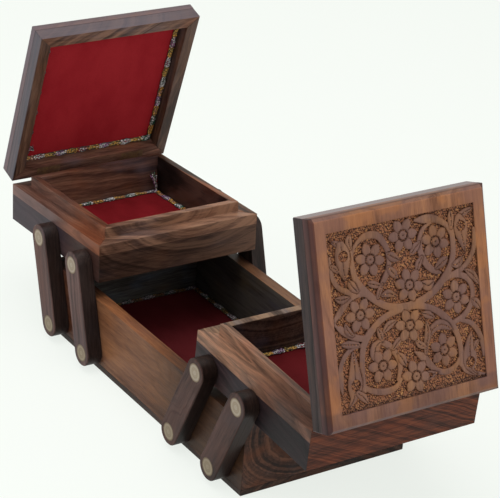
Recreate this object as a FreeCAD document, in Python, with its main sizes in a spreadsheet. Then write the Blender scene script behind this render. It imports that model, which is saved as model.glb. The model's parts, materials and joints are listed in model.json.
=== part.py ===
import FreeCAD, Part
import math
import os

import Sketcher

# Wooden jewelry box that opens like a cantilever: an open base, two trays on four pairs of
# swinging arms, and a carved lid hinged to the outer end of each tray.
# Millimetres, +Z up, +Y to the rear tray, origin in the middle of the base's underside.

SIZES = [
    # Base
    ("base_length", 204.0, "outside, along Y"),
    ("base_width", 102.0, "outside, along X; trays and lids are as wide"),
    ("base_height", 41.0, "underside to rim"),
    ("base_wall", 7.0, "thickness of the four walls"),
    ("base_board", 3.5, "bottom board, which the walls stand on"),
    # Trays
    ("tray_gap", 0.75, "between the two trays when both are closed"),
    ("rim_gap", 0.2, "between the base's rim and a closed tray"),
    ("tray_height", 22.0, "underside to ledge"),
    ("tray_ledge", 7.8, "width of the ledge that the lid rests on"),
    ("lip_height", 6.0, "lip above the ledge"),
    ("lip_thickness", 4.2, "lip inside the ledge"),
    ("tray_board", 3.0, "bottom board, let in between the walls"),
    # Lids
    ("lid_seat", 0.2, "between the ledge and a closed lid"),
    ("rail_width", 7.0, "rails round the lid's recess"),
    ("rail_height", 8.0, "depth of the rails under the board"),
    ("lid_board", 6.0, "thickness of the carved board"),
    ("lid_chamfer", 2.0, "bevel round the board's face"),
    ("carving_border", 8.0, "plain border round the carved field"),
    ("carving_depth", 1.8, "how far the ground of the carving is sunk"),
    ("carving_relief", 1.5, "flowers and stems above that ground"),
    ("flower_radius", 7.8, "carved flower"),
    ("ring_radius", 12.4, "outside of the ring of stems round a flower"),
    ("pod_radius", 3.4, "carved seed pod"),
    ("stem_width", 3.0, "carved stem"),
    # Linings
    ("lid_lining", 1.0, "velvet on card, in the lids"),
    ("floor_lining", 3.6, "velvet on a thicker card, in the base and the trays"),
    ("velvet_gap", 0.15, "between a lining and the walls round it"),
    ("braid_width", 4.2, "flat braid round a lining"),
    ("braid_thickness", 0.7, "flat braid, through"),
    # Arms and their dowels
    ("arm_width", 15.0, "across an arm, which is also round at its ends"),
    ("arm_thickness", 8.9, "along X"),
    ("arm_gap", 0.3, "between an arm and the side that it swings on"),
    ("arm_bevel", 0.5, "eased arris of an arm's outer face"),
    ("pivot_inset", 17.5, "outer lower pivot from the base's end"),
    ("pivot_spacing", 38.0, "between the inner and the outer pivots"),
    ("pivot_height", 10.2, "lower pivots above the base's underside"),
    ("tray_pivot_inset", 14.4, "inner upper pivot from the tray's inner end"),
    ("tray_pivot_height", 7.0, "upper pivots above the tray's underside"),
    ("dowel_radius", 4.9, "wooden dowel"),
    ("dowel_play", 0.08, "radial, in the bores that it turns in"),
    ("dowel_glue", 0.03, "radial, in the arm that it is glued to"),
    ("dowel_end_gap", 0.3, "between a dowel's end and the bottom of its bore"),
    ("base_bore", 5.0, "depth of the blind bores in the base's sides"),
    ("tray_bore", 8.0, "depth of the blind bores in the trays' sides"),
    ("slot_play", 0.15, "radial, in the slot of the outer upper dowel"),
    # Hinges
    ("barrel_radius", 1.15, "hinge knuckles"),
    ("barrel_gap", 0.1, "between the knuckles and the tray's end"),
    ("pin_radius", 0.5, "hinge pin"),
    ("pin_play", 0.05, "radial, in the lid's knuckle"),
    ("pin_grip", 0.02, "radial, in the tray's knuckles"),
    ("leaf_length", 15.0, "hinge along X"),
    ("leaf_reach", 6.0, "leaf from the tray's end inwards"),
    ("leaf_thickness", 0.6, "leaf, let in flush"),
    ("leaf_gap", 0.05, "round a leaf in its recess"),
    ("knuckle_gap", 0.15, "between neighbouring knuckles"),
    ("hinge_offset", 28.0, "middle of a hinge from the middle of the tray"),
    ("screw_offset", 4.5, "screw from the middle of its hinge"),
    ("screw_inset", 3.2, "screw from the tray's end inwards"),
    ("screw_radius", 0.6, "shank"),
    ("screw_head", 1.2, "countersunk head's radius"),
    ("screw_length", 4.5, "shank below the leaf"),
    ("screw_gap", 0.02, "radial, round a screw"),
    ("screw_slot_width", 0.3, "driver slot across a head"),
    ("screw_slot_depth", 0.25, "driver slot into a head"),
    # Rest pose and travel, in degrees
    ("rear_lean_angle", 17.4, "rear arms from upright, outwards"),
    ("front_lean_angle", 24.4, "front arms from upright, outwards"),
    ("open_lean_angle", 36.0, "arms from upright when the tray is fully out"),
    ("rear_opening_angle", 70.0, "rear lid from closed"),
    ("front_opening_angle", 69.0, "front lid from closed"),
    ("lid_travel_angle", 105.0, "lid from closed to fully open"),
    ("sag_share", 0.047, "part of the swing by which a tray tips outwards"),
]

# Values that follow from the sizes. The arms' length and their closed lean come from where
# the closed tray has to lie: just above the base's rim and flush with its end.
FITTED = [
    ("tray_length", "(Sizes.base_length - Sizes.tray_gap) / 2"),
    ("tray_wall", "Sizes.tray_ledge + Sizes.lip_thickness"),
    ("pivot_outer", "Sizes.base_length / 2 - Sizes.pivot_inset"),
    ("pivot_inner", "Fitted.pivot_outer - Sizes.pivot_spacing"),
    ("arm_run", "Fitted.pivot_inner - Sizes.tray_gap / 2 - Sizes.tray_pivot_inset"),
    ("arm_rise", "Sizes.base_height + Sizes.rim_gap + Sizes.tray_pivot_height - Sizes.pivot_height"),
    ("arm_reach", "sqrt(Fitted.arm_run ^ 2 + Fitted.arm_rise ^ 2)"),
    ("closed_lean", "-atan(Fitted.arm_run / Fitted.arm_rise) / 1deg"),
    ("rear_sag", "Sizes.sag_share * (Sizes.rear_lean_angle - Fitted.closed_lean)"),
    ("front_sag", "Sizes.sag_share * (Sizes.front_lean_angle - Fitted.closed_lean)"),
    ("open_sag", "Sizes.sag_share * (Sizes.open_lean_angle - Fitted.closed_lean)"),
    ("slot_rise", "Sizes.pivot_spacing * sin(Fitted.open_sag * 1deg)"),
    ("hinge_out", "Sizes.barrel_radius + Sizes.barrel_gap"),
    ("knuckle", "(Sizes.leaf_length - 2 * Sizes.knuckle_gap) / 3"),
    ("arm_face", "Sizes.base_width / 2 + Sizes.arm_gap"),
]

CUT_PAST = 1.0  # how far a cutting tool stands out of the face that it cuts
ROOTED = 0.5  # how far a carved form reaches into the board under it

# The carving's main forms, as shares of its field across and down from the upper left corner.
FLOWERS = [
    (0.274, 0.190), (0.720, 0.171), (0.505, 0.097), (0.520, 0.377), (0.178, 0.479),
    (0.833, 0.505), (0.500, 0.601), (0.298, 0.788), (0.721, 0.785), (0.515, 0.893),
]
RINGS = [(0.276, 0.203), (0.724, 0.196), (0.300, 0.780), (0.716, 0.776)]
PODS = [(0.098, 0.150), (0.904, 0.130), (0.106, 0.845), (0.895, 0.880)]
STEMS = [
    [(0.190, 0.310), (0.280, 0.415), (0.380, 0.475), (0.505, 0.494),
     (0.660, 0.455), (0.775, 0.365), (0.820, 0.300)],
    [(0.185, 0.655), (0.250, 0.575), (0.350, 0.515), (0.505, 0.494),
     (0.655, 0.535), (0.767, 0.629), (0.815, 0.700)],
]

doc = FreeCAD.newDocument("jewelry_box")
parts = []


def make_sheet():
    """Write the sizes to the sheet, one alias a row."""
    sheet = doc.addObject("Spreadsheet::Sheet", "Sizes")
    for row, (alias, value, note) in enumerate(SIZES, start=1):
        sheet.set(f"A{row}", alias)
        sheet.set(f"B{row}", str(value))
        sheet.set(f"C{row}", note)
        sheet.setAlias(f"B{row}", alias)
    doc.recompute()
    return sheet


def make_fitted():
    """Keep the values that follow from the sizes as properties with expressions."""
    fitted = doc.addObject("App::VarSet", "Fitted")
    for name, expression in FITTED:
        fitted.addProperty("App::PropertyFloat", name)
        fitted.setExpression(name, expression)
        doc.recompute()
    return fitted


def place(thing, frame, x="0", y="0", z="0", axis="1; 0; 0", angle="0"):
    """Bind a thing's Placement to a frame, with a shift and a turn in that frame."""
    shift = f"placement(vector({x}; {y}; {z}); rotation(vector({axis}); {angle}))"
    thing.setExpression("Placement", f"{frame.Name}.Placement * {shift}")
    return thing


def make_frame(name, parent=None, **where):
    """Make a local frame, either at the origin or placed in another frame."""
    frame = doc.addObject("Part::LocalCoordinateSystem", name)
    if parent is not None:
        place(frame, parent, **where)
    return frame


def solid(kind, name, **sizes):
    """Make a Part object and bind its sizes."""
    thing = doc.addObject(kind, name)
    for key, expression in sizes.items():
        thing.setExpression(key, expression)
    return thing


def block(name, frame, length, width, height, **where):
    """Make a box in a frame, from its lowest corner."""
    box = solid("Part::Box", name, Length=length, Width=width, Height=height)
    return place(box, frame, **where)


def rod_along_x(name, frame, radius, length, **where):
    """Make a cylinder that runs from its place along the frame's X."""
    rod = solid("Part::Cylinder", name, Radius=radius, Height=length)
    return place(rod, frame, axis="0; 1; 0", angle="90", **where)


def joined(name, pieces):
    """Fuse pieces into one solid."""
    if len(pieces) == 1:
        return pieces[0]
    fuse = doc.addObject("Part::MultiFuse", name)
    fuse.Shapes = pieces
    fuse.Refine = True
    return fuse


def cut(name, base, tools):
    """Take tools away from a base."""
    result = doc.addObject("Part::Cut", name)
    result.Base = base
    result.Tool = joined(name + "_tools", tools)
    return result


def group(name, pieces):
    """Keep separate solids together in one node."""
    compound = doc.addObject("Part::Compound", name)
    compound.Links = pieces
    return compound


def part(thing, label):
    """Give a finished piece its label and put it on the list of nodes."""
    thing.Label = label
    parts.append(thing)
    return thing


def mitred_bar(name, run, thickness, height, set_in="0"):
    """Make a bar whose ends are cut at 45 degrees; its long face is at local Y = set_in."""
    bar = solid(
        "Part::Wedge",
        name,
        Xmin=set_in,
        Xmax=f"{run} - ({set_in})",
        X2min=f"({set_in}) + {thickness}",
        X2max=f"{run} - ({set_in}) - {thickness}",
        Ymin=set_in,
        Ymax=f"({set_in}) + {thickness}",
        Zmin="0",
        Zmax=height,
        Z2min="0",
        Z2max=height,
    )
    return bar


def four_sides(width, near_end, far_end):
    """Return, for each side of a rectangle, the run and the corner and turn of its bar."""
    half = f"({width}) / 2"
    length = f"({far_end} - ({near_end}))"
    return {
        "near": (width, dict(x=f"-{half}", y=near_end, angle="0")),
        "plus_x": (length, dict(x=half, y=near_end, angle="90")),
        "far": (width, dict(x=half, y=far_end, angle="180")),
        "minus_x": (length, dict(x=f"-{half}", y=far_end, angle="270")),
    }


def origin_plane(body, role):
    """Find one of a body's own origin planes."""
    for feature in body.Origin.OriginFeatures:
        if feature.Role == role:
            return feature
    raise ValueError(role)


def new_sketch(body, name, role):
    """Add a sketch on one of the body's origin planes."""
    sketch = body.newObject("Sketcher::SketchObject", name)
    sketch.AttachmentSupport = (origin_plane(body, role), [""])
    sketch.MapMode = "FlatFace"
    return sketch


def bind_constraint(sketch, constraint, name, expression):
    """Add a named constraint and bind it."""
    index = sketch.addConstraint(constraint)
    sketch.renameConstraint(index, name)
    sketch.setExpression(f"Constraints.{name}", expression)


def draw_rectangle(sketch, half_width, near_end, far_end):
    """Draw a rectangle that is centred on the sketch's Y axis."""
    corners = [(-1, 1), (1, 1), (1, 2), (-1, 2)]
    points = [FreeCAD.Vector(x, y, 0) for x, y in corners]
    sides = []
    for index, point in enumerate(points):
        sides.append(sketch.addGeometry(Part.LineSegment(point, points[(index + 1) % 4])))
    for index, side in enumerate(sides):
        sketch.addConstraint(Sketcher.Constraint("Coincident", side, 2, sides[(index + 1) % 4], 1))
    near, right, far, left = sides
    for side, kind in ((right, "Vertical"), (far, "Horizontal"), (left, "Vertical")):
        sketch.addConstraint(Sketcher.Constraint(kind, side))
    sketch.addConstraint(Sketcher.Constraint("Symmetric", near, 1, near, 2, -2))
    bind_constraint(sketch, Sketcher.Constraint("DistanceX", -1, 1, near, 2, 1.0), "half_width", half_width)
    bind_constraint(sketch, Sketcher.Constraint("DistanceY", -1, 1, right, 1, 1.0), "near_end", near_end)
    bind_constraint(sketch, Sketcher.Constraint("DistanceY", -1, 1, right, 2, 2.0), "far_end", far_end)


def edges_in_plane(shape, axis, value, with_closed=True):
    """Name the edges of a shape that lie in a plane across an axis, with or without its circles."""
    names = []
    for index, edge in enumerate(shape.Edges, start=1):
        box = edge.BoundBox
        low, high = (box.XMin, box.XMax) if axis == "x" else (box.ZMin, box.ZMax)
        if abs(low - value) < 1e-3 and abs(high - value) < 1e-3:
            if with_closed or not edge.isClosed():
                names.append(f"Edge{index}")
    return names


def add_chamfer(body, feature, name, edges, size):
    """Bevel edges of a body's feature."""
    chamfer = body.newObject("PartDesign::Chamfer", name)
    chamfer.Base = (feature, edges)
    chamfer.setExpression("Size", size)
    doc.recompute()
    return chamfer


def base_section(frame):
    """Bottom board, four mitred walls with the lower bores, velvet and braid."""
    inside = "(Sizes.base_width - 2 * Sizes.base_wall)"
    half_length = "Sizes.base_length / 2"
    names = {"near": "front", "far": "rear", "plus_x": "right", "minus_x": "left"}
    board = block(
        "base_bottom_board", frame,
        "Sizes.base_width", "Sizes.base_length", "Sizes.base_board",
        x="-Sizes.base_width / 2", y=f"-{half_length}",
    )
    part(board, "base_bottom_board")
    sides = four_sides("Sizes.base_width", f"-{half_length}", half_length)
    for side, (run, where) in sides.items():
        name = f"base_{names[side]}_wall"
        height = "Sizes.base_height - Sizes.base_board"
        wall = mitred_bar(name + "_bar", run, "Sizes.base_wall", height)
        place(wall, frame, z="Sizes.base_board", axis="0; 0; 1", **where)
        if side in ("plus_x", "minus_x"):
            start = "Sizes.base_width / 2 - Sizes.base_bore"
            if side == "minus_x":
                start = f"-Sizes.base_width / 2 - {CUT_PAST}"
            bores = []
            for end, end_sign in (("rear", ""), ("front", "-")):
                for pivot in ("inner", "outer"):
                    bore = rod_along_x(
                        f"{name}_{end}_{pivot}_bore", frame,
                        "Sizes.dowel_radius + Sizes.dowel_play",
                        f"Sizes.base_bore + {CUT_PAST}",
                        x=start, y=f"{end_sign}Fitted.pivot_{pivot}", z="Sizes.pivot_height",
                    )
                    bores.append(bore)
            wall = cut(name, wall, bores)
        part(wall, name)
    lining("base", frame, inside, f"-({half_length} - Sizes.base_wall)",
           f"{half_length} - Sizes.base_wall", "Sizes.base_board", upwards=True)


def lining(name, frame, width, near_end, far_end, surface, upwards):
    """Velvet on a surface between four walls, and flat braid round its edge."""
    gap = "Sizes.velvet_gap"
    length = f"({far_end} - ({near_end}))"
    sign = "+" if upwards else "-"
    thickness = "Sizes.floor_lining" if upwards else "Sizes.lid_lining"
    velvet_z = surface if upwards else f"{surface} - {thickness}"
    braid_z = f"{surface} {sign} {thickness}"
    if not upwards:
        braid_z += " - Sizes.braid_thickness"
    velvet = block(
        f"{name}_velvet_lining", frame,
        f"{width} - 2 * {gap}", f"{length} - 2 * {gap}", thickness,
        x=f"-{width} / 2 + {gap}", y=f"{near_end} + {gap}", z=velvet_z,
    )
    part(velvet, f"{name}_velvet_lining")
    outside = block(
        f"{name}_braid_outside", frame,
        f"{width} - 2 * {gap}", f"{length} - 2 * {gap}", "Sizes.braid_thickness",
        x=f"-{width} / 2 + {gap}", y=f"{near_end} + {gap}", z=braid_z,
    )
    inset = f"({gap} + Sizes.braid_width)"
    opening = block(
        f"{name}_braid_opening", frame,
        f"{width} - 2 * {inset}", f"{length} - 2 * {inset}", "Sizes.braid_thickness",
        x=f"-{width} / 2 + {inset}", y=f"{near_end} + {inset}", z=braid_z,
    )
    part(cut(f"{name}_braid", outside, [opening]), f"{name}_braid")


def arm_line(name, frame, left_side):
    """One pair of arms and their four dowels; left_side is the frame's side that is left."""
    for side in ("plus_x", "minus_x"):
        hand = "left" if side == left_side else "right"
        body = doc.addObject("PartDesign::Body", f"{name}_{hand}_arm")
        sketch = new_sketch(body, f"{name}_{hand}_outline", "YZ_Plane")
        draw_arm(sketch)
        pad = body.newObject("PartDesign::Pad", f"{name}_{hand}_thickness")
        pad.Profile = sketch
        pad.setExpression("Length", "Sizes.arm_thickness")
        pad.Reversed = side == "minus_x"
        doc.recompute()
        outer = pad.Length.Value if side == "plus_x" else -pad.Length.Value
        edges = edges_in_plane(pad.Shape, "x", outer, with_closed=False)
        add_chamfer(body, pad, f"{name}_{hand}_bevel", edges, "Sizes.arm_bevel")
        sign = "" if side == "plus_x" else "-"
        place(body, frame, x=f"{sign}Fitted.arm_face")
        part(body, f"{name}_{hand}_arm")
    dowels = []
    pivots = (("lower", "0", "Sizes.base_bore"), ("upper", "Fitted.arm_reach", "Sizes.tray_bore"))
    for end, height, bore in pivots:
        length = f"Sizes.arm_thickness + Sizes.arm_gap + {bore} - Sizes.dowel_end_gap"
        outside = "Fitted.arm_face + Sizes.arm_thickness"
        for side in ("plus_x", "minus_x"):
            start = f"{outside} - ({length})" if side == "plus_x" else f"-({outside})"
            dowels.append(rod_along_x(
                f"{name}_{end}_{side}_dowel", frame, "Sizes.dowel_radius", length, x=start, z=height,
            ))
    part(group(f"{name}_dowels", dowels), f"{name}_dowels")


def draw_arm(sketch):
    """Draw an arm's outline, round at both ends, and its two dowel holes."""
    half, reach = 7.0, 50.0
    up = FreeCAD.Vector(0, 0, 1)
    bottom, top = FreeCAD.Vector(0, 0, 0), FreeCAD.Vector(0, reach, 0)
    low = sketch.addGeometry(Part.ArcOfCircle(Part.Circle(bottom, up, half), math.pi, 2 * math.pi))
    right = sketch.addGeometry(Part.LineSegment(FreeCAD.Vector(half, 0, 0), FreeCAD.Vector(half, reach, 0)))
    high = sketch.addGeometry(Part.ArcOfCircle(Part.Circle(top, up, half), 0, math.pi))
    left = sketch.addGeometry(Part.LineSegment(FreeCAD.Vector(-half, reach, 0), FreeCAD.Vector(-half, 0, 0)))
    for first, second in ((low, right), (right, high), (high, left), (left, low)):
        sketch.addConstraint(Sketcher.Constraint("Tangent", first, 2, second, 1))
    sketch.addConstraint(Sketcher.Constraint("Coincident", low, 3, -1, 1))
    sketch.addConstraint(Sketcher.Constraint("PointOnObject", high, 3, -2))
    sketch.addConstraint(Sketcher.Constraint("Vertical", right))
    bind_constraint(sketch, Sketcher.Constraint("Radius", low, half), "end_radius", "Sizes.arm_width / 2")
    bind_constraint(
        sketch, Sketcher.Constraint("DistanceY", low, 3, high, 3, reach), "reach", "Fitted.arm_reach"
    )
    for arc, name in ((low, "low_hole"), (high, "high_hole")):
        centre = bottom if arc == low else top
        hole = sketch.addGeometry(Part.Circle(centre, up, half / 2))
        sketch.addConstraint(Sketcher.Constraint("Coincident", hole, 3, arc, 3))
        bind_constraint(
            sketch, Sketcher.Constraint("Radius", hole, half / 2), name,
            "Sizes.dowel_radius + Sizes.dowel_glue",
        )


def tray(end, frame, left_side):
    """One tray; its frame is at the underside of its inner end."""
    name = f"{end}_tray"
    length = "Fitted.tray_length"
    names = {"near": "inner", "far": "outer", "plus_x": "right", "minus_x": "left"}
    if left_side == "plus_x":
        names.update(plus_x="left", minus_x="right")
    for side, (run, where) in four_sides("Sizes.base_width", "0", length).items():
        label = f"{name}_{names[side]}_wall"
        wall_bar = mitred_bar(label + "_bar", run, "Fitted.tray_wall", "Sizes.tray_height")
        place(wall_bar, frame, axis="0; 0; 1", **where)
        lip = mitred_bar(
            label + "_lip", run, "Sizes.lip_thickness",
            "Sizes.tray_height + Sizes.lip_height", set_in="Sizes.tray_ledge",
        )
        place(lip, frame, axis="0; 0; 1", **where)
        wall = joined(label + "_profile", [wall_bar, lip])
        if side in ("plus_x", "minus_x"):
            wall = cut(label, wall, tray_bores(label, frame, side))
        if side == "far":
            wall = cut(label, wall, hinge_seats(label, frame, "tray"))
        part(wall, label)
    inside = "(Sizes.base_width - 2 * Fitted.tray_wall)"
    board = block(
        f"{name}_bottom_board", frame,
        inside, f"{length} - 2 * Fitted.tray_wall", "Sizes.tray_board",
        x=f"-{inside} / 2", y="Fitted.tray_wall",
    )
    part(board, f"{name}_bottom_board")
    lining(name, frame, inside, "Fitted.tray_wall", f"{length} - Fitted.tray_wall",
           "Sizes.tray_board", upwards=True)


def tray_bores(name, frame, side):
    """The round bore of the inner dowel, and the upright slot of the outer one."""
    start = "Sizes.base_width / 2 - Sizes.tray_bore"
    if side == "minus_x":
        start = f"-Sizes.base_width / 2 - {CUT_PAST}"
    depth = f"Sizes.tray_bore + {CUT_PAST}"
    inner = "Sizes.tray_pivot_inset"
    outer = f"{inner} + Sizes.pivot_spacing"
    height = "Sizes.tray_pivot_height"
    slot_radius = "(Sizes.dowel_radius + Sizes.slot_play)"
    bore = rod_along_x(
        f"{name}_bore", frame, "Sizes.dowel_radius + Sizes.dowel_play", depth,
        x=start, y=inner, z=height,
    )
    slot_low = rod_along_x(f"{name}_slot_low", frame, slot_radius, depth, x=start, y=outer, z=height)
    slot_high = rod_along_x(
        f"{name}_slot_high", frame, slot_radius, depth,
        x=start, y=outer, z=f"{height} + Fitted.slot_rise",
    )
    slot_middle = block(
        f"{name}_slot_middle", frame, depth, f"2 * {slot_radius}", "Fitted.slot_rise",
        x=start, y=f"{outer} - {slot_radius}", z=height,
    )
    return [bore, slot_low, slot_high, slot_middle]


def hinge_seats(name, frame, owner):
    """Shallow seats for the two leaves and pilot holes for their screws."""
    tools = []
    gap = "Sizes.leaf_gap"
    wood_face = "Sizes.tray_height" if owner == "tray" else "0"
    bottom = f"{wood_face} - Sizes.leaf_thickness"
    if owner == "lid":
        bottom = f"-{CUT_PAST}"
    for hinge, sign in (("one", "-"), ("two", "")):
        tools.append(block(
            f"{name}_{hinge}_seat", frame,
            f"Sizes.leaf_length + 2 * {gap}", f"Sizes.leaf_reach + {gap} + {CUT_PAST}",
            f"Sizes.leaf_thickness + {CUT_PAST}",
            x=f"{sign}Sizes.hinge_offset - Sizes.leaf_length / 2 - {gap}",
            y=f"Fitted.tray_length - Sizes.leaf_reach - {gap}", z=bottom,
        ))
        for screw, screw_sign in (("one", "-"), ("two", "+")):
            pilot = solid(
                "Part::Cylinder", f"{name}_{hinge}_pilot_{screw}",
                Radius="Sizes.screw_radius + Sizes.screw_gap",
                Height="Sizes.leaf_thickness + Sizes.screw_length",
            )
            pilot_z = f"{wood_face} - Sizes.leaf_thickness - Sizes.screw_length" if owner == "tray" else "0"
            place(
                pilot, frame,
                x=f"{sign}Sizes.hinge_offset {screw_sign} Sizes.screw_offset",
                y="Fitted.tray_length - Sizes.screw_inset", z=pilot_z,
            )
            tools.append(pilot)
    return tools


def lid(end, frame, left_side):
    """One lid; its frame is at the underside of its inner end."""
    name = f"{end}_lid"
    length = "Fitted.tray_length"
    names = {"near": "inner", "far": "outer", "plus_x": "right", "minus_x": "left"}
    if left_side == "plus_x":
        names.update(plus_x="left", minus_x="right")
    for side, (run, where) in four_sides("Sizes.base_width", "0", length).items():
        label = f"{name}_{names[side]}_rail"
        rail = mitred_bar(label + "_bar", run, "Sizes.rail_width", "Sizes.rail_height")
        place(rail, frame, axis="0; 0; 1", **where)
        if side == "far":
            rail = cut(label, rail, hinge_seats(label, frame, "lid"))
        part(rail, label)
    carved_board(name, frame, length)
    lining(name, frame, "(Sizes.base_width - 2 * Sizes.rail_width)", "Sizes.rail_width",
           f"{length} - Sizes.rail_width", "Sizes.rail_height", upwards=False)


def carved_board(name, frame, length):
    """The lid's board: bevelled edges and a sunk field that holds the carving."""
    body = doc.addObject("PartDesign::Body", f"{name}_sunk_board")
    outline = new_sketch(body, f"{name}_board_outline", "XY_Plane")
    draw_rectangle(outline, "Sizes.base_width / 2", "0", length)
    pad = body.newObject("PartDesign::Pad", f"{name}_board_pad")
    pad.Profile = outline
    pad.setExpression("Length", "Sizes.lid_board")
    doc.recompute()
    edges = edges_in_plane(pad.Shape, "z", pad.Length.Value)
    bevel = add_chamfer(body, pad, f"{name}_board_bevel", edges, "Sizes.lid_chamfer")
    whole = bevel.Shape.Volume
    field = new_sketch(body, f"{name}_field_outline", "XY_Plane")
    field.setExpression("AttachmentOffset.Base.z", "Sizes.lid_board")
    border = "Sizes.carving_border"
    draw_rectangle(field, f"Sizes.base_width / 2 - {border}", border, f"{length} - {border}")
    pocket = body.newObject("PartDesign::Pocket", f"{name}_field")
    pocket.Profile = field
    pocket.setExpression("Length", "Sizes.carving_depth")
    doc.recompute()
    if not pocket.Shape.Volume < whole:
        raise RuntimeError(f"{name}: the carved field cuts nothing")
    place(body, frame, z="Sizes.rail_height")
    part(joined(f"{name}_carved_board", [body] + carved_forms(name, frame)), f"{name}_board")


def carved_forms(name, frame):
    """The main forms of the carving, standing on the ground of its field."""
    field = "(Sizes.base_width - 2 * Sizes.carving_border)"
    z = f"Sizes.rail_height + Sizes.lid_board - Sizes.carving_depth - {ROOTED}"
    height = f"Sizes.carving_relief + {ROOTED}"

    def spot(across, down):
        """Place a share of the field in the lid's frame."""
        return dict(x=f"{0.5 - across:.3f} * {field}", y=f"Sizes.carving_border + {down} * {field}", z=z)

    def disc(label, radius, where):
        """A round form."""
        thing = solid("Part::Cylinder", label, Radius=radius, Height=height)
        return place(thing, frame, **where)

    forms = []
    for number, (across, down) in enumerate(FLOWERS, start=1):
        forms.append(disc(f"{name}_flower_{number}", "Sizes.flower_radius", spot(across, down)))
    for number, (across, down) in enumerate(PODS, start=1):
        forms.append(disc(f"{name}_pod_{number}", "Sizes.pod_radius", spot(across, down)))
    for number, (across, down) in enumerate(RINGS, start=1):
        where = spot(across, down)
        label = f"{name}_ring_{number}"
        outside = disc(f"{label}_outside", "Sizes.ring_radius", where)
        inside = disc(f"{label}_inside", "Sizes.ring_radius - Sizes.stem_width", where)
        forms.append(cut(label, outside, [inside]))
    for number, stem in enumerate(STEMS, start=1):
        for step, (start, end) in enumerate(zip(stem, stem[1:]), start=1):
            label = f"{name}_stem_{number}_{step}"
            run, rise = start[0] - end[0], end[1] - start[1]
            turn = math.atan2(rise, run)
            where = spot(*start)
            forms.append(disc(f"{label}_end", "Sizes.stem_width / 2", where))
            where["x"] += f" + {math.sin(turn):.4f} * Sizes.stem_width / 2"
            where["y"] += f" - {math.cos(turn):.4f} * Sizes.stem_width / 2"
            forms.append(block(
                label, frame, f"{math.hypot(run, rise):.4f} * {field}", "Sizes.stem_width", height,
                axis="0; 0; 1", angle=f"{math.degrees(turn):.3f}", **where,
            ))
    return forms


def hinge_leaves(end, owner, frame):
    """Two brass leaves with their knuckles; the frame is on the hinge axis."""
    name = f"{end}_{owner}_hinge_leaves"
    face = "Sizes.lid_seat / 2"
    plate_z = f"-{face} - Sizes.leaf_thickness" if owner == "tray" else face
    knuckle = "Fitted.knuckle"
    reach = "Fitted.hinge_out + Sizes.leaf_reach"
    clear = "Fitted.hinge_out"
    leaves = []
    for hinge, sign in (("one", "-"), ("two", "")):
        label = f"{name}_{hinge}"
        middle = f"{sign}Sizes.hinge_offset"
        first = f"{middle} - Sizes.leaf_length / 2"
        plate = block(
            f"{label}_plate", frame, "Sizes.leaf_length", reach, "Sizes.leaf_thickness",
            x=first, y=f"-({reach})", z=plate_z,
        )
        outer = [
            rod_along_x(f"{label}_knuckle_{number}", frame, "Sizes.barrel_radius", knuckle, x=place_x)
            for number, place_x in (
                ("one", first),
                ("three", f"{middle} + Sizes.leaf_length / 2 - {knuckle}"),
            )
        ]
        centre = [rod_along_x(
            f"{label}_knuckle_two", frame, "Sizes.barrel_radius", knuckle, x=f"{middle} - {knuckle} / 2",
        )]
        notch_depth = f"{clear} + Sizes.barrel_radius + {CUT_PAST}"
        notch = dict(y=f"-({clear})", z=f"-Sizes.barrel_radius - {CUT_PAST}")
        notch_height = f"2 * (Sizes.barrel_radius + {CUT_PAST})"
        if owner == "tray":
            knuckles = outer
            notch_run = f"{knuckle} + 2 * Sizes.knuckle_gap"
            notches = [block(
                f"{label}_notch", frame, notch_run, notch_depth, notch_height,
                x=f"{middle} - ({notch_run}) / 2", **notch,
            )]
            hole_radius = "Sizes.pin_radius + Sizes.pin_grip"
        else:
            knuckles = centre
            notch_run = f"{knuckle} + Sizes.knuckle_gap + {CUT_PAST}"
            notches = [
                block(
                    f"{label}_notch_one", frame, notch_run, notch_depth, notch_height,
                    x=f"{first} - {CUT_PAST}", **notch,
                ),
                block(
                    f"{label}_notch_two", frame, notch_run, notch_depth, notch_height,
                    x=f"{middle} + {knuckle} / 2", **notch,
                ),
            ]
            hole_radius = "Sizes.pin_radius + Sizes.pin_play"
        pin_hole = rod_along_x(
            f"{label}_pin_hole", frame, hole_radius, f"Sizes.leaf_length + 2 * {CUT_PAST}",
            x=f"{first} - {CUT_PAST}",
        )
        plate = cut(f"{label}_notched", plate, notches)
        leaf = joined(f"{label}_solid", [plate] + knuckles)
        sinks = [
            screw_shape(f"{label}_sink_{screw}", frame, owner, f"{middle} {screw_sign} Sizes.screw_offset",
                        "Sizes.screw_gap")
            for screw, screw_sign in (("one", "-"), ("two", "+"))
        ]
        leaves.append(cut(label, leaf, [pin_hole] + sinks))
    part(group(name, leaves), name)


def screw_shape(name, frame, owner, x, gap="0"):
    """A countersunk screw's outside, head at the leaf's mating face, or its hole with a gap."""
    head = solid(
        "Part::Cone", f"{name}_head",
        Radius1=f"Sizes.screw_head + {gap}", Radius2=f"Sizes.screw_radius + {gap}",
        Height="Sizes.leaf_thickness",
    )
    shank = solid(
        "Part::Cylinder", f"{name}_shank",
        Radius=f"Sizes.screw_radius + {gap}", Height="Sizes.leaf_thickness + Sizes.screw_length",
    )
    turn, face = ("180", "-Sizes.lid_seat / 2") if owner == "tray" else ("0", "Sizes.lid_seat / 2")
    for piece in (head, shank):
        place(piece, frame, x=x, y="-(Fitted.hinge_out + Sizes.screw_inset)", z=face, angle=turn)
    return joined(name, [head, shank])


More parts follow.
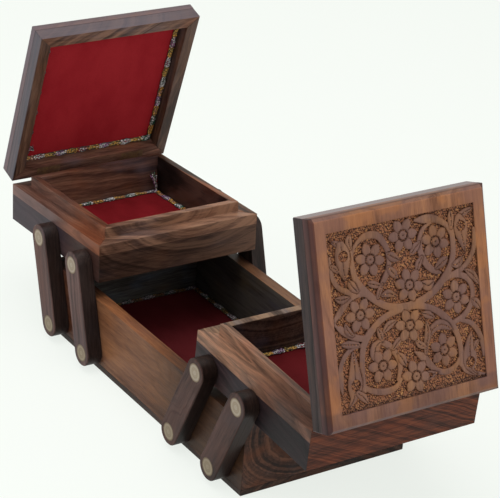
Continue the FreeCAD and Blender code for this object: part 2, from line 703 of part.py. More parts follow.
def hinge_screws(end, owner, frame):
    """The four slotted screws of one set of leaves."""
    name = f"{end}_{owner}_hinge_screws"
    screws = []
    for hinge, sign in (("one", "-"), ("two", "")):
        for screw, screw_sign in (("one", "-"), ("two", "+")):
            label = f"{name}_{hinge}_{screw}"
            x = f"{sign}Sizes.hinge_offset {screw_sign} Sizes.screw_offset"
            face = "-Sizes.lid_seat / 2 - Sizes.screw_slot_depth" if owner == "tray" else "Sizes.lid_seat / 2"
            height = "Sizes.screw_slot_depth"
            slot = block(
                f"{label}_slot", frame, "2 * Sizes.screw_head", "Sizes.screw_slot_width", height,
                x=f"{x} - Sizes.screw_head",
                y=f"-(Fitted.hinge_out + Sizes.screw_inset) - Sizes.screw_slot_width / 2", z=face,
            )
            screws.append(cut(label, screw_shape(f"{label}_body", frame, owner, x), [slot]))
    part(group(name, screws), name)


def hinge_pins(end, frame):
    """One pin through the knuckles of each hinge."""
    pins = []
    for hinge, sign in (("one", "-"), ("two", "")):
        pins.append(rod_along_x(
            f"{end}_hinge_pin_{hinge}", frame, "Sizes.pin_radius", "Sizes.leaf_length",
            x=f"{sign}Sizes.hinge_offset - Sizes.leaf_length / 2",
        ))
    part(group(f"{end}_hinge_pins", pins), f"{end}_hinge_pins")


def end_section(end, side_frame, left_side):
    """Arms, tray, hinges and lid of one end; +Y of the side frame points outwards."""
    lean = f"Sizes.{end}_lean_angle"
    arm_frames = {}
    for pivot in ("inner", "outer"):
        arm_frames[pivot] = make_frame(
            f"{end}_{pivot}_arm_frame", side_frame,
            y=f"Fitted.pivot_{pivot}", z="Sizes.pivot_height", angle=f"-{lean}",
        )
        arm_line(f"{end}_{pivot}", arm_frames[pivot], left_side)
    pivot_frame = make_frame(
        f"{end}_tray_pivot_frame", arm_frames["inner"],
        z="Fitted.arm_reach", angle=f"{lean} - Fitted.{end}_sag",
    )
    tray_frame = make_frame(
        f"{end}_tray_frame", pivot_frame,
        y="-Sizes.tray_pivot_inset", z="-Sizes.tray_pivot_height",
    )
    tray(end, tray_frame, left_side)
    closed_hinge = dict(
        y="Fitted.tray_length + Fitted.hinge_out", z="Sizes.tray_height + Sizes.lid_seat / 2",
    )
    tray_hinge_frame = make_frame(f"{end}_tray_hinge_frame", tray_frame, **closed_hinge)
    lid_hinge_frame = make_frame(
        f"{end}_lid_hinge_frame", tray_frame, angle=f"-Sizes.{end}_opening_angle", **closed_hinge,
    )
    lid_frame = make_frame(
        f"{end}_lid_frame", lid_hinge_frame,
        y="-Fitted.tray_length - Fitted.hinge_out", z="Sizes.lid_seat / 2",
    )
    hinge_leaves(end, "tray", tray_hinge_frame)
    hinge_screws(end, "tray", tray_hinge_frame)
    hinge_pins(end, tray_hinge_frame)
    lid(end, lid_frame, left_side)
    hinge_leaves(end, "lid", lid_hinge_frame)
    hinge_screws(end, "lid", lid_hinge_frame)
    return pivot_frame, tray_hinge_frame


def check_document():
    """Stop if anything in the document failed to build."""
    doc.recompute()
    for thing in doc.Objects:
        if "Invalid" in thing.State or "Error" in thing.State:
            raise RuntimeError(f"{thing.Name} failed: {thing.State}")
    for thing in parts:
        if thing.Shape.isNull() or not thing.Shape.isValid():
            raise RuntimeError(f"{thing.Label} has no valid shape")


def report_joints(sheet, fitted, frames):
    """Print where the joints lie and how far they turn from the rest pose."""
    for end, (pivot_frame, hinge_frame) in frames.items():
        lean = getattr(sheet, f"{end}_lean_angle")
        opening = getattr(sheet, f"{end}_opening_angle")
        swing = (fitted.closed_lean - lean, sheet.open_lean_angle - lean)
        sign = 1 if end == "rear" else -1
        for pivot in ("inner", "outer"):
            where = sign * getattr(fitted, f"pivot_{pivot}")
            print(f"{end} {pivot} arms: pivot y {where:.4f} z {sheet.pivot_height:.4f}")
        tray_pivot, hinge = pivot_frame.Placement.Base, hinge_frame.Placement.Base
        print(f"{end} swing: {swing[0]:.4f} to {swing[1]:.4f} degrees")
        print(f"{end} tray: pivot y {tray_pivot.y:.4f} z {tray_pivot.z:.4f}, ratio {sheet.sag_share - 1:.4f}")
        print(f"{end} lid: pivot y {hinge.y:.4f} z {hinge.z:.4f}, "
              f"{-opening:.4f} to {sheet.lid_travel_angle - opening:.4f} degrees")
    print(f"arm reach {fitted.arm_reach:.4f}, slot rise {fitted.slot_rise:.4f}")


def write_parts():
    """Write each node to its own file."""
    os.makedirs("parts", exist_ok=True)
    for thing in parts:
        thing.Shape.exportStep(os.path.join("parts", thing.Label + ".step"))
    print(f"{len(parts)} nodes written")


sizes_sheet = make_sheet()
fitted_values = make_fitted()
base_frame = make_frame("base_frame")
base_section(base_frame)
rear_side = make_frame("rear_side_frame", base_frame)
front_side = make_frame("front_side_frame", base_frame, axis="0; 0; 1", angle="180")
joint_frames = {
    "rear": end_section("rear", rear_side, "minus_x"),
    "front": end_section("front", front_side, "plus_x"),
}
check_document()
report_joints(sizes_sheet, fitted_values, joint_frames)
write_parts()
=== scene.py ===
"""Finishes, linings, braids and carving for a wooden jewelry box that opens like a cantilever.

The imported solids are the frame. This script gives each of them its finish and adds what they
leave plain: eased edges, velvet, plaited braid with frayed ends, and the carved lids.
Lengths are in millimetres up to the moment a mesh is placed.
"""

import json
import logging
import math
from dataclasses import dataclass, field
from enum import Enum
from typing import Any, Sequence

import bpy
import numpy as np
from mathutils import Matrix, Vector

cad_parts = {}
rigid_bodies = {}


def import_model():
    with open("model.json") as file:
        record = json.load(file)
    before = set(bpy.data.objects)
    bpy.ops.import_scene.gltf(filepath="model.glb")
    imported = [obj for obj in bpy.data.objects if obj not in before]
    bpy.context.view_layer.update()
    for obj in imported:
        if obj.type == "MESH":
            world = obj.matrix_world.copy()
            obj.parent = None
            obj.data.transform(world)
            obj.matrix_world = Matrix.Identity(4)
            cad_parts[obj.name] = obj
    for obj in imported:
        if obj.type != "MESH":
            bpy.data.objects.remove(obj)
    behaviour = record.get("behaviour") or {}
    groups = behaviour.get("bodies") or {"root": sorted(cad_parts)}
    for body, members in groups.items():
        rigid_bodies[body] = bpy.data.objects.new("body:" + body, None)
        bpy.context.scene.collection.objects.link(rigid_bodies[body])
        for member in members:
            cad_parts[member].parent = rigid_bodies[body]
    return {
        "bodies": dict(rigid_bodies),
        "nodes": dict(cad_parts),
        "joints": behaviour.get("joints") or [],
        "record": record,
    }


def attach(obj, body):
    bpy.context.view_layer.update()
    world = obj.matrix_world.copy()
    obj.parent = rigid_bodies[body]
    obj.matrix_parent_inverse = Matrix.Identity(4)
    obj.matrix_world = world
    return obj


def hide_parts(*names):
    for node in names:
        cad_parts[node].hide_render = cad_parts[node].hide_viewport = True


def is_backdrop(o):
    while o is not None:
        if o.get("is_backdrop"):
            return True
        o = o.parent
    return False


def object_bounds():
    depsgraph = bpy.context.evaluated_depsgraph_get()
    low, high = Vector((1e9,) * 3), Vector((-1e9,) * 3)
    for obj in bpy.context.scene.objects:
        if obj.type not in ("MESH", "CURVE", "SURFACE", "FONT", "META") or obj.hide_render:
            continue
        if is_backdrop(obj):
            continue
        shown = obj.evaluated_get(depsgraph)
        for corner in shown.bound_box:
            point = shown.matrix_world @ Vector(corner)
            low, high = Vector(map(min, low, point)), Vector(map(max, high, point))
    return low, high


MM = 0.001
WIDTH = 102.0  # of the whole box, in millimetres
OPEN = 999.0  # a limit that leaves its side open, in millimetres
Colour = tuple[float, float, float]
log = logging.getLogger("jewelry_box")


def shade(red: float, green: float, blue: float) -> tuple[float, float, float, float]:
    """Turn a colour as it looks on a screen into the renderer's linear colour.

    Args:
        red: 0 to 255.
        green: 0 to 255.
        blue: 0 to 255.

    Returns:
        The colour with an alpha of 1.
    """
    def linear(value: float) -> float:
        """Linear value of one channel."""
        level = value / 255
        return level / 12.92 if level <= 0.04045 else ((level + 0.055) / 1.055) ** 2.4

    return linear(red), linear(green), linear(blue), 1.0


# Where things are.


class End(Enum):
    """The two ends of the box."""

    REAR = "rear"
    FRONT = "front"


@dataclass(frozen=True)
class Placing:
    """A piece's own frame: x across, y away from the middle of the box, z up from its underside."""

    along: float = 0.0
    height: float = 0.0
    tip: float = 0.0
    turned: bool = False

    def rotation(self) -> Matrix:
        """Turn from the piece's frame to the box's."""
        half_turn = Matrix.Rotation(math.pi if self.turned else 0.0, 4, "Z")
        return half_turn @ Matrix.Rotation(-math.radians(self.tip), 4, "X")

    def origin(self) -> Vector:
        """Where the piece's frame starts, in millimetres."""
        return Vector((0.0, -self.along if self.turned else self.along, self.height))

    def matrix(self) -> Matrix:
        """Map millimetres in the piece's frame to metres in the box's."""
        return Matrix.Scale(MM, 4) @ Matrix.Translation(self.origin()) @ self.rotation()

    def inside(self, y: float, z: float, tip: float = 0.0) -> "Placing":
        """A frame that is set out within this one.

        Args:
            y: millimetres outwards.
            z: millimetres up.
            tip: further degrees, outer end down.

        Returns:
            The new frame.
        """
        angle = math.radians(self.tip)
        return Placing(
            self.along + y * math.cos(angle) + z * math.sin(angle),
            self.height - y * math.sin(angle) + z * math.cos(angle),
            self.tip + tip,
            self.turned,
        )


@dataclass(frozen=True)
class Linkage:
    """The sizes that place the arms, trays and lids, as the solids have them."""

    tray_length: float = 101.625
    pivot_inner: float = 46.5
    pivot_spacing: float = 38.0
    pivot_height: float = 10.2
    arm_reach: float = 49.50226
    closed_lean: float = -39.85744
    tray_pivot_inset: float = 14.4
    tray_pivot_height: float = 7.0
    sag_share: float = 0.047
    tray_height: float = 22.0
    lid_seat: float = 0.2
    hinge_out: float = 1.25

    def lean(self, end: End) -> float:
        """Degrees by which an end's arms lean outwards."""
        return 17.4 if end is End.REAR else 24.4

    def opening(self, end: End) -> float:
        """Degrees by which an end's lid is open."""
        return 70.0 if end is End.REAR else 69.0

    def arm(self, end: End, outer: bool) -> Placing:
        """Frame of a pair of arms, with z along them.

        Args:
            end: which end of the box.
            outer: whether it is the outer pair.

        Returns:
            The frame, at the lower pivots.
        """
        along = self.pivot_inner + (self.pivot_spacing if outer else 0.0)
        return Placing(along, self.pivot_height, self.lean(end), end is End.FRONT)

    def tray(self, end: End) -> Placing:
        """Frame of a tray, at the underside of its inner end."""
        pivot = self.arm(end, outer=False).inside(0.0, self.arm_reach)
        sag = self.sag_share * (self.lean(end) - self.closed_lean)
        level = Placing(pivot.along, pivot.height, sag, pivot.turned)
        return level.inside(-self.tray_pivot_inset, -self.tray_pivot_height)

    def lid(self, end: End) -> Placing:
        """Frame of a lid, at the underside of its inner end."""
        axis_y = self.tray_length + self.hinge_out
        axis_z = self.tray_height + self.lid_seat / 2
        axis = self.tray(end).inside(axis_y, axis_z, self.opening(end))
        return axis.inside(-axis_y, self.lid_seat / 2)


# Node graphs.


class Wire:
    """An output socket, so that maths between nodes reads as an expression."""

    def __init__(self, graph: "Graph", socket: bpy.types.NodeSocket) -> None:
        """Keep the socket and the graph that it is in."""
        self.graph = graph
        self.socket = socket

    def maths(self, operation: str, *others: "Wire | float") -> "Wire":
        """Feed this value and others to a Math node."""
        return self.graph.maths(operation, self, *others)

    def __add__(self, other: "Wire | float") -> "Wire":
        """Sum of two values."""
        return self.maths("ADD", other)

    __radd__ = __add__

    def __sub__(self, other: "Wire | float") -> "Wire":
        """This value less another."""
        return self.maths("SUBTRACT", other)

    def __rsub__(self, other: "Wire | float") -> "Wire":
        """Another value less this."""
        return self.graph.maths("SUBTRACT", other, self)

    def __mul__(self, other: "Wire | float") -> "Wire":
        """Product of two values."""
        return self.maths("MULTIPLY", other)

    __rmul__ = __mul__

    def __truediv__(self, other: "Wire | float") -> "Wire":
        """This value over another."""
        return self.maths("DIVIDE", other)

    def __pow__(self, other: "Wire | float") -> "Wire":
        """This value to a power."""
        return self.maths("POWER", other)

    def step(self, low: float, high: float) -> "Wire":
        """Rise smoothly from 0 at low to 1 at high."""
        return self.graph.node(
            "ShaderNodeMapRange",
            {"interpolation_type": "SMOOTHSTEP"},
            {"Value": self, "From Min": low, "From Max": high},
        )


class Graph:
    """Adds nodes and links to one tree, for materials and for geometry."""

    def __init__(self, tree: bpy.types.NodeTree) -> None:
        """Keep the tree."""
        self.tree = tree

    def node(
        self,
        kind: str,
        settings: dict[str, Any] | None = None,
        inputs: dict[str | int, Any] | None = None,
        output: str | int = 0,
    ) -> Wire:
        """Make any node.

        Args:
            kind: the node's type.
            settings: its properties, set first; "stops" are a ramp's places and colours.
            inputs: values or wires by socket name or number.
            output: which output to return.

        Returns:
            The wire from that output.
        """
        made = self.tree.nodes.new(kind)
        for name, value in (settings or {}).items():
            if name == "stops":
                self._set_stops(made.color_ramp, value)
            else:
                setattr(made, name, value)
        for key, value in (inputs or {}).items():
            if isinstance(value, Wire):
                self.tree.links.new(value.socket, made.inputs[key])
            else:
                made.inputs[key].default_value = value
        return Wire(self, made.outputs[output])

    @staticmethod
    def _set_stops(ramp: bpy.types.ColorRamp, stops: Sequence[tuple[float, Sequence[float]]]) -> None:
        """Give a colour ramp its stops."""
        while len(ramp.elements) < len(stops):
            ramp.elements.new(1.0)
        for element, (place, colour) in zip(ramp.elements, stops):
            element.position = place
            element.color = colour

    def maths(self, operation: str, *values: Wire | float) -> Wire:
        """One Math node on one to three values."""
        return self.node("ShaderNodeMath", {"operation": operation}, dict(enumerate(values)))

    def vector(self, operation: str, *values: Any) -> Wire:
        """One Vector Math node."""
        return self.node("ShaderNodeVectorMath", {"operation": operation}, dict(enumerate(values)))

    def combine(self, x: Wire | float, y: Wire | float, z: Wire | float) -> Wire:
        """A vector from three values."""
        return self.node("ShaderNodeCombineXYZ", None, {0: x, 1: y, 2: z})

    def split(self, vector: Wire) -> tuple[Wire, Wire, Wire]:
        """The three parts of a vector."""
        first = self.node("ShaderNodeSeparateXYZ", None, {0: vector})
        outputs = first.socket.node.outputs
        return first, Wire(self, outputs[1]), Wire(self, outputs[2])

    def noise(self, vector: Wire, detail: float = 2.0, roughness: float = 0.5, scale: float = 1.0) -> Wire:
        """Cloudy noise on a vector, about 0.5."""
        return self.node(
            "ShaderNodeTexNoise",
            None,
            {"Vector": vector, "Scale": scale, "Detail": detail, "Roughness": roughness},
        )

    def noise_line(self, value: Wire, detail: float = 2.0, roughness: float = 0.5) -> Wire:
        """Noise along one value, about 0.5."""
        return self.node(
            "ShaderNodeTexNoise",
            {"noise_dimensions": "1D"},
            {"W": value, "Scale": 1.0, "Detail": detail, "Roughness": roughness},
        )

    def mix(self, factor: Wire | float, first: Any, second: Any, blend: str = "MIX") -> Wire:
        """Mix two colours."""
        return self.node(
            "ShaderNodeMix",
            {"data_type": "RGBA", "blend_type": blend, "clamp_factor": True},
            {0: factor, 6: first, 7: second},
            output=2,
        )

    def stain(self, colour: Any, gain: Sequence[float], factor: Wire | float = 1.0) -> Wire:
        """Multiply a colour's red, green and blue."""
        return self.mix(factor, colour, (*gain, 1.0), "MULTIPLY")

    def scaled(self, vector: Wire, factor: Wire | float) -> Wire:
        """A vector times one value."""
        return self.node(
            "ShaderNodeVectorMath", {"operation": "SCALE"}, {0: vector, "Scale": factor}
        )

    def ramp(self, value: Wire, stops: Sequence[tuple[float, Sequence[float]]]) -> Wire:
        """A colour ramp with the given stops."""
        return self.node("ShaderNodeValToRGB", {"stops": stops}, {0: value})

    def bump(self, height: Wire, strength: float, distance: float) -> Wire:
        """A normal from a height; distance is in metres."""
        return self.node(
            "ShaderNodeBump", None, {"Height": height, "Strength": strength, "Distance": distance}
        )


class Surface:
    """One material with a Principled shader and a graph for its inputs."""

    def __init__(self, name: str) -> None:
        """Make the material."""
        self.material = bpy.data.materials.new(name)
        self.material.use_nodes = True
        tree = self.material.node_tree
        self.graph = Graph(tree)
        self.shader = next(n for n in tree.nodes if n.type == "BSDF_PRINCIPLED")

    def local(self, placing: Placing) -> Wire:
        """Object coordinates in a piece's own frame, in millimetres."""
        objects = self.graph.node("ShaderNodeTexCoord", output="Object")
        return self.graph.node(
            "ShaderNodeMapping",
            {"vector_type": "TEXTURE"},
            {
                "Vector": objects,
                "Location": placing.origin() * MM,
                "Rotation": placing.rotation().to_euler(),
                "Scale": (MM, MM, MM),
            },
        )

    def set(self, **values: Any) -> bpy.types.Material:
        """Set or link the shader's inputs by name, with underscores for spaces.

        Args:
            values: numbers, colours or wires.

        Returns:
            The material.
        """
        for name, value in values.items():
            socket = self.shader.inputs[name.replace("_", " ")]
            if isinstance(value, Wire):
                self.graph.tree.links.new(value.socket, socket)
            else:
                socket.default_value = value
        return self.material


# Finishes.


class Run(Enum):
    """The piece's own axis that its grain runs along."""

    ACROSS = 0
    OUTWARDS = 1
    UPWARDS = 2


@dataclass(frozen=True)
class Tone:
    """The colours of a board: its dark lines, three shades of wood, and two stray tints."""

    line: Colour
    dark: Colour
    mid: Colour
    pale: Colour
    warm: Colour = (112, 66, 40)
    cool: Colour = (84, 76, 82)


CHOCOLATE = Tone((22, 12, 9), (36, 23, 18), (58, 39, 32), (92, 64, 52), (86, 48, 32), (60, 52, 52))
UMBER = Tone((30, 17, 12), (54, 36, 29), (78, 55, 45), (106, 78, 63), (104, 64, 42))
GOLDEN = Tone((66, 40, 26), (92, 62, 46), (118, 84, 62), (142, 104, 76), (136, 88, 48), (112, 84, 76))
TAN = Tone((62, 42, 32), (88, 64, 50), (114, 86, 68), (140, 110, 86), (132, 94, 62), (104, 90, 84))
SLATE = Tone((32, 28, 28), (48, 44, 44), (66, 60, 59), (86, 76, 72), (84, 62, 52), (62, 64, 70))
PLUM = Tone((44, 32, 30), (68, 52, 49), (90, 70, 66), (112, 90, 84), (98, 66, 54), (90, 80, 84))
STRIPED = Tone((30, 18, 14), (52, 34, 28), (84, 56, 46), (118, 80, 62), (120, 70, 46), (78, 66, 66))
AMBER = Tone((90, 56, 40), (116, 80, 62), (140, 100, 78), (162, 118, 90), (166, 112, 70), (138, 104, 100))


@dataclass(frozen=True)
class Cut:
    """How a piece was cut from its log.

    The heart is a line in the piece's own frame; lean tilts it, oval flattens the rings, and
    fade makes the wood paler along x, y and z, by so much a millimetre.
    """

    run: Run
    heart: tuple[float, float, float] = (0.0, 0.0, -60.0)
    lean: tuple[float, float] = (0.0, 0.03)
    seed: float = 0.0
    oval: float = 1.0
    fade: tuple[float, float, float] = (0.0, 0.0, 0.0)


@dataclass(frozen=True)
class Patch:
    """A box within a board where its colour is stronger or weaker.

    The gains are for red, green and blue. The limits are along x, to either side of the middle,
    and along y and z.
    """

    gain: tuple[float, float, float]
    low: tuple[float, float, float] = (-OPEN, -OPEN, -OPEN)
    high: tuple[float, float, float] = (OPEN, OPEN, OPEN)
    soft: float = 0.1

    def apply(self, graph: Graph, axes: Sequence[Wire], colour: Wire) -> Wire:
        """Change a colour within the box.

        Args:
            graph: where the nodes go.
            axes: the place in the board's own frame.
            colour: the wood's colour.

        Returns:
            The changed colour.
        """
        factor: Wire | float = 1.0
        for number, axis in enumerate((axes[0].maths("ABSOLUTE"), axes[1], axes[2])):
            if self.low[number] > -OPEN:
                factor = axis.step(self.low[number] - self.soft, self.low[number]) * factor
            if self.high[number] < OPEN:
                factor = (1.0 - axis.step(self.high[number], self.high[number] + self.soft)) * factor
        return graph.stain(colour, self.gain, factor)


@dataclass(frozen=True)
class Grain:
    """The wires that a wood's shader is made from."""

    colour: Wire
    fibre: Wire
    lines: Wire
    axes: tuple[Wire, Wire, Wire]
    patchy: Wire


@dataclass(frozen=True)
class Rosewood:
    """Oiled rosewood with growth rings, dark lines, fibres, pores and a painted sheen on outer faces."""

    tone: Tone
    ring: float = 0.2
    figure: float = 1.0
    wander: float = 8.0
    tint: float = 0.5
    # The next three set the painted sheen: its strength, the faces it covers, and its colour, a pale
    # mauve-grey standing in for light the finish reflects.
    painted_sheen: float = 0.0
    skin: tuple[float, float, float] = (50.75, 0.25, 101.4)
    painted_sheen_colour: Colour = (102, 92, 101)
    gloss: float = 0.14
    roughness: float = 0.42
    stain: tuple[float, float, float] = (1.0, 1.0, 1.0)
    patches: tuple[Patch, ...] = ()

    def grain(self, surface: Surface, placing: Placing, cut: Cut) -> Grain:
        """Work out the wood's pattern.

        Args:
            surface: the material to build in.
            placing: the piece's frame.
            cut: how the piece was sawn.

        Returns:
            Its colour, fibre height and dark lines, without the painted sheen and the patches.
        """
        graph = surface.graph
        spot = surface.local(placing)
        axes = graph.split(spot)
        order = [cut.run.value, (cut.run.value + 1) % 3, (cut.run.value + 2) % 3]
        along, side, up = (axes[i] - cut.heart[i] for i in order)
        drift = graph.noise(
            graph.combine(along * 0.014 + cut.seed, side * 0.03, up * 0.03 + cut.seed), 2.0
        ) - 0.5
        ripple = graph.noise(graph.combine(along * 0.05 + cut.seed, side * 0.12, up * 0.12)) - 0.5
        side_way = (side + along * cut.lean[0]) * cut.oval + drift * self.wander
        up_way = up + along * cut.lean[1] + drift * self.wander
        radius = (side_way * side_way + up_way * up_way) ** 0.5 + ripple * 2.2
        rings = graph.noise_line(radius * self.ring + cut.seed * 3.1, 3.0, 0.6)
        lines = graph.noise_line(radius * self.ring * 2.3 + cut.seed * 7.7, 3.0, 0.65).step(0.55, 0.72)
        streaks = graph.noise(
            graph.combine(along * 0.03 + cut.seed, side * 0.5, up * 0.5 + drift * 4.0), 3.0, 0.6
        )
        fibre = graph.noise(graph.combine(along * 0.12, side * 2.1, up * 2.1 + cut.seed), 3.0, 0.65)
        pores = graph.noise(graph.combine(along * 0.22, side * 3.6, up * 3.6), 1.0).step(0.6, 0.75)
        cloud = graph.noise(graph.combine(along * 0.022 + cut.seed, side * 0.045, up * 0.045), 2.0)
        value = (rings - 0.5) * (1.5 * self.figure) + (streaks - 0.5) * 0.7 + (fibre - 0.5) * 0.85
        value = value + (cloud - 0.5) * 0.6 + 0.5
        for axis, rate in zip(axes, cut.fade):
            if rate:
                value = value + axis * rate
        stops = (
            (0.12, shade(*self.tone.line)),
            (0.3, shade(*self.tone.dark)),
            (0.52, shade(*self.tone.mid)),
            (0.8, shade(*self.tone.pale)),
        )
        colour = graph.ramp(value, stops)
        tint = graph.noise(graph.combine(along * 0.03, side * 0.06 + cut.seed * 2.0, up * 0.06), 2.0)
        colour = graph.mix(tint.step(0.5, 0.72) * self.tint, colour, shade(*self.tone.warm))
        colour = graph.mix(
            (1.0 - tint).step(0.52, 0.74) * self.tint, colour, shade(*self.tone.cool)
        )
        colour = graph.mix(lines * (0.55 * self.figure), colour, shade(*self.tone.line))
        colour = graph.mix(pores * 0.4, colour, shade(*self.tone.line))
        colour = graph.stain(colour, self.stain)
        return Grain(colour, fibre - pores * 0.6, lines, axes, streaks * 0.4 + cloud * 0.5 + 0.4)

    def with_painted_sheen_and_patches(self, graph: Graph, grain: Grain, colour: Wire) -> Wire:
        """Lay the painted sheen and the patches over a colour."""
        if self.painted_sheen:
            factor = self._outside(grain.axes) * grain.patchy * self.painted_sheen
            colour = graph.mix(factor, colour, shade(*self.painted_sheen_colour))
        for patch in self.patches:
            colour = patch.apply(graph, grain.axes, colour)
        return colour

    def _outside(self, axes: Sequence[Wire]) -> Wire:
        """1 on the faces that look out to the sides or the ends, where the sheen is painted."""
        half, near, far = self.skin
        sides = axes[0].maths("ABSOLUTE").step(half - 0.05, half)
        ends = (axes[1] * -1.0).step(-near - 0.05, -near).maths("MAXIMUM", axes[1].step(far - 0.05, far))
        return sides.maths("MAXIMUM", ends * 0.9)

    def material(self, name: str, placing: Placing, cut: Cut) -> bpy.types.Material:
        """Make the wood for one piece.

        Args:
            name: the material's name.
            placing: the piece's frame.
            cut: how the piece was sawn.

        Returns:
            The material.
        """
        surface = Surface(name)
        grain = self.grain(surface, placing, cut)
        rough = grain.fibre * 0.16 + grain.lines * 0.08 + (self.roughness - 0.06)
        return surface.set(
            Base_Color=self.with_painted_sheen_and_patches(surface.graph, grain, grain.colour),
            Roughness=rough,
            Normal=surface.graph.bump(grain.fibre, 0.3, 0.0001),
            Specular_IOR_Level=self.gloss,
        )


@dataclass(frozen=True)
class CarvedRosewood:
    """A carved board: pale raised work over a dark punched ground, partly painted shade; darker arrises."""

    wood: Rosewood
    pit: Colour = (66, 37, 26)
    ground: Colour = (160, 104, 74)
    gold: Colour = (204, 152, 96)
    flush: Colour = (122, 90, 86)
    amber: Colour = (164, 112, 72)
    border: tuple[float, float, float] = (1.35, 1.18, 0.98)

    def material(self, name: str, placing: Placing, cut: Cut) -> bpy.types.Material:
        """Make the board's finish; it reads the relief and punch attributes of the mesh."""
        surface = Surface(name)
        graph = surface.graph
        grain = self.wood.grain(surface, placing, cut)
        relief = graph.node("ShaderNodeAttribute", {"attribute_name": "relief"}, output="Fac")
        punch = graph.node("ShaderNodeAttribute", {"attribute_name": "punch"}, output="Fac")
        spot = surface.local(placing)
        cloud = graph.noise(spot, 2.0, 0.5, 0.045)
        patch = graph.noise(spot, 1.0, 0.5, 0.35)
        blotch = graph.noise(graph.vector("ADD", spot, (31.0, 7.0, 0.0)), 3.0, 0.6, 0.06)
        colour = graph.mix(cloud.step(0.36, 0.6) * 0.6, grain.colour, shade(*self.flush))
        colour = graph.mix(blotch.step(0.52, 0.64) * 0.4, colour, shade(*self.amber))
        colour = graph.stain(colour, self.border, relief.step(1.05, 1.2))
        # The low parts, by the relief attribute, take the dark ground colours: partly the carving's darker
        # ground, partly painted shade in the hollows.
        ground = graph.mix(punch.step(0.05, 0.5), shade(*self.pit), shade(*self.ground))
        golden = punch.step(0.35, 0.85) * patch.step(0.4, 0.62)
        ground = graph.mix(golden, ground, shade(*self.gold))
        colour = graph.mix(relief.step(0.3, 0.75), ground, colour)
        return surface.set(
            Base_Color=self.wood.with_painted_sheen_and_patches(graph, grain, colour),
            Roughness=grain.fibre * 0.2 + 0.42,
            Normal=graph.bump(grain.fibre, 0.3, 0.0001),
            Specular_IOR_Level=self.wood.gloss,
        )


@dataclass(frozen=True)
class PaleDowel:
    """End-grain of a pale wooden dowel, with a stained rim; the lower ones are duller."""

    face: Colour = (168, 155, 138)
    warm: Colour = (142, 126, 104)
    edge: Colour = (92, 72, 54)
    low: tuple[float, float, float] = (0.78, 0.76, 0.7)

    def material(
        self, name: str, placing: Placing, centres: Sequence[float], radius: float
    ) -> bpy.types.Material:
        """Make the dowels' finish.

        Args:
            name: the material's name.
            placing: frame of the arms that hold them.
            centres: the dowels' places along the arms.
            radius: the dowels' radius.

        Returns:
            The material.
        """
        surface = Surface(name)
        graph = surface.graph
        spot = surface.local(placing)
        _, out, up = graph.split(spot)
        near = [((out * out) + (up - c) * (up - c)) ** 0.5 for c in centres]
        distance = near[0].maths("MINIMUM", near[1])
        pores = graph.noise(spot, 3.0, 0.7, 1.6)
        rings = graph.noise_line(distance * 1.1 + pores * 1.2, 2.0)
        colour = graph.mix(rings.step(0.35, 0.65), shade(*self.warm), shade(*self.face))
        colour = graph.mix(pores.step(0.55, 0.75) * 0.35, colour, shade(*self.warm))
        rim = distance.step(radius - 0.75, radius - 0.1)
        colour = graph.mix(rim * 0.7, colour, shade(*self.edge))
        colour = graph.stain(colour, self.low, 1.0 - up.step(4.0, 6.0))
        return surface.set(
            Base_Color=colour,
            Roughness=pores * 0.2 + 0.5,
            Normal=graph.bump(pores, 0.3, 0.0001),
            Specular_IOR_Level=0.3,
        )


@dataclass(frozen=True)
class Velvet:
    """Red velvet: short pile with faint brushed patches and a soft sheen."""

    deep: Colour = (116, 16, 24)
    bright: Colour = (136, 26, 34)

    def material(self, name: str, placing: Placing) -> bpy.types.Material:
        """Make the velvet for one lining."""
        surface = Surface(name)
        graph = surface.graph
        spot = surface.local(placing)
        brushed = graph.noise(graph.vector("MULTIPLY", spot, (0.06, 0.035, 0.06)), 3.0, 0.6)
        pile = graph.noise(graph.vector("MULTIPLY", spot, (2.6, 1.3, 2.6)), 2.0, 0.7)
        colour = graph.mix(brushed.step(0.3, 0.7), shade(*self.deep), shade(*self.bright))
        colour = graph.mix(pile.step(0.4, 0.75) * 0.2, colour, shade(88, 10, 16))
        return surface.set(
            Base_Color=colour,
            Roughness=pile * 0.2 + 0.75,
            Normal=graph.bump(pile, 0.5, 0.00015),
            Specular_IOR_Level=0.12,
            Sheen_Weight=0.25,
            Sheen_Roughness=0.45,
            Sheen_Tint=shade(214, 70, 80),
        )


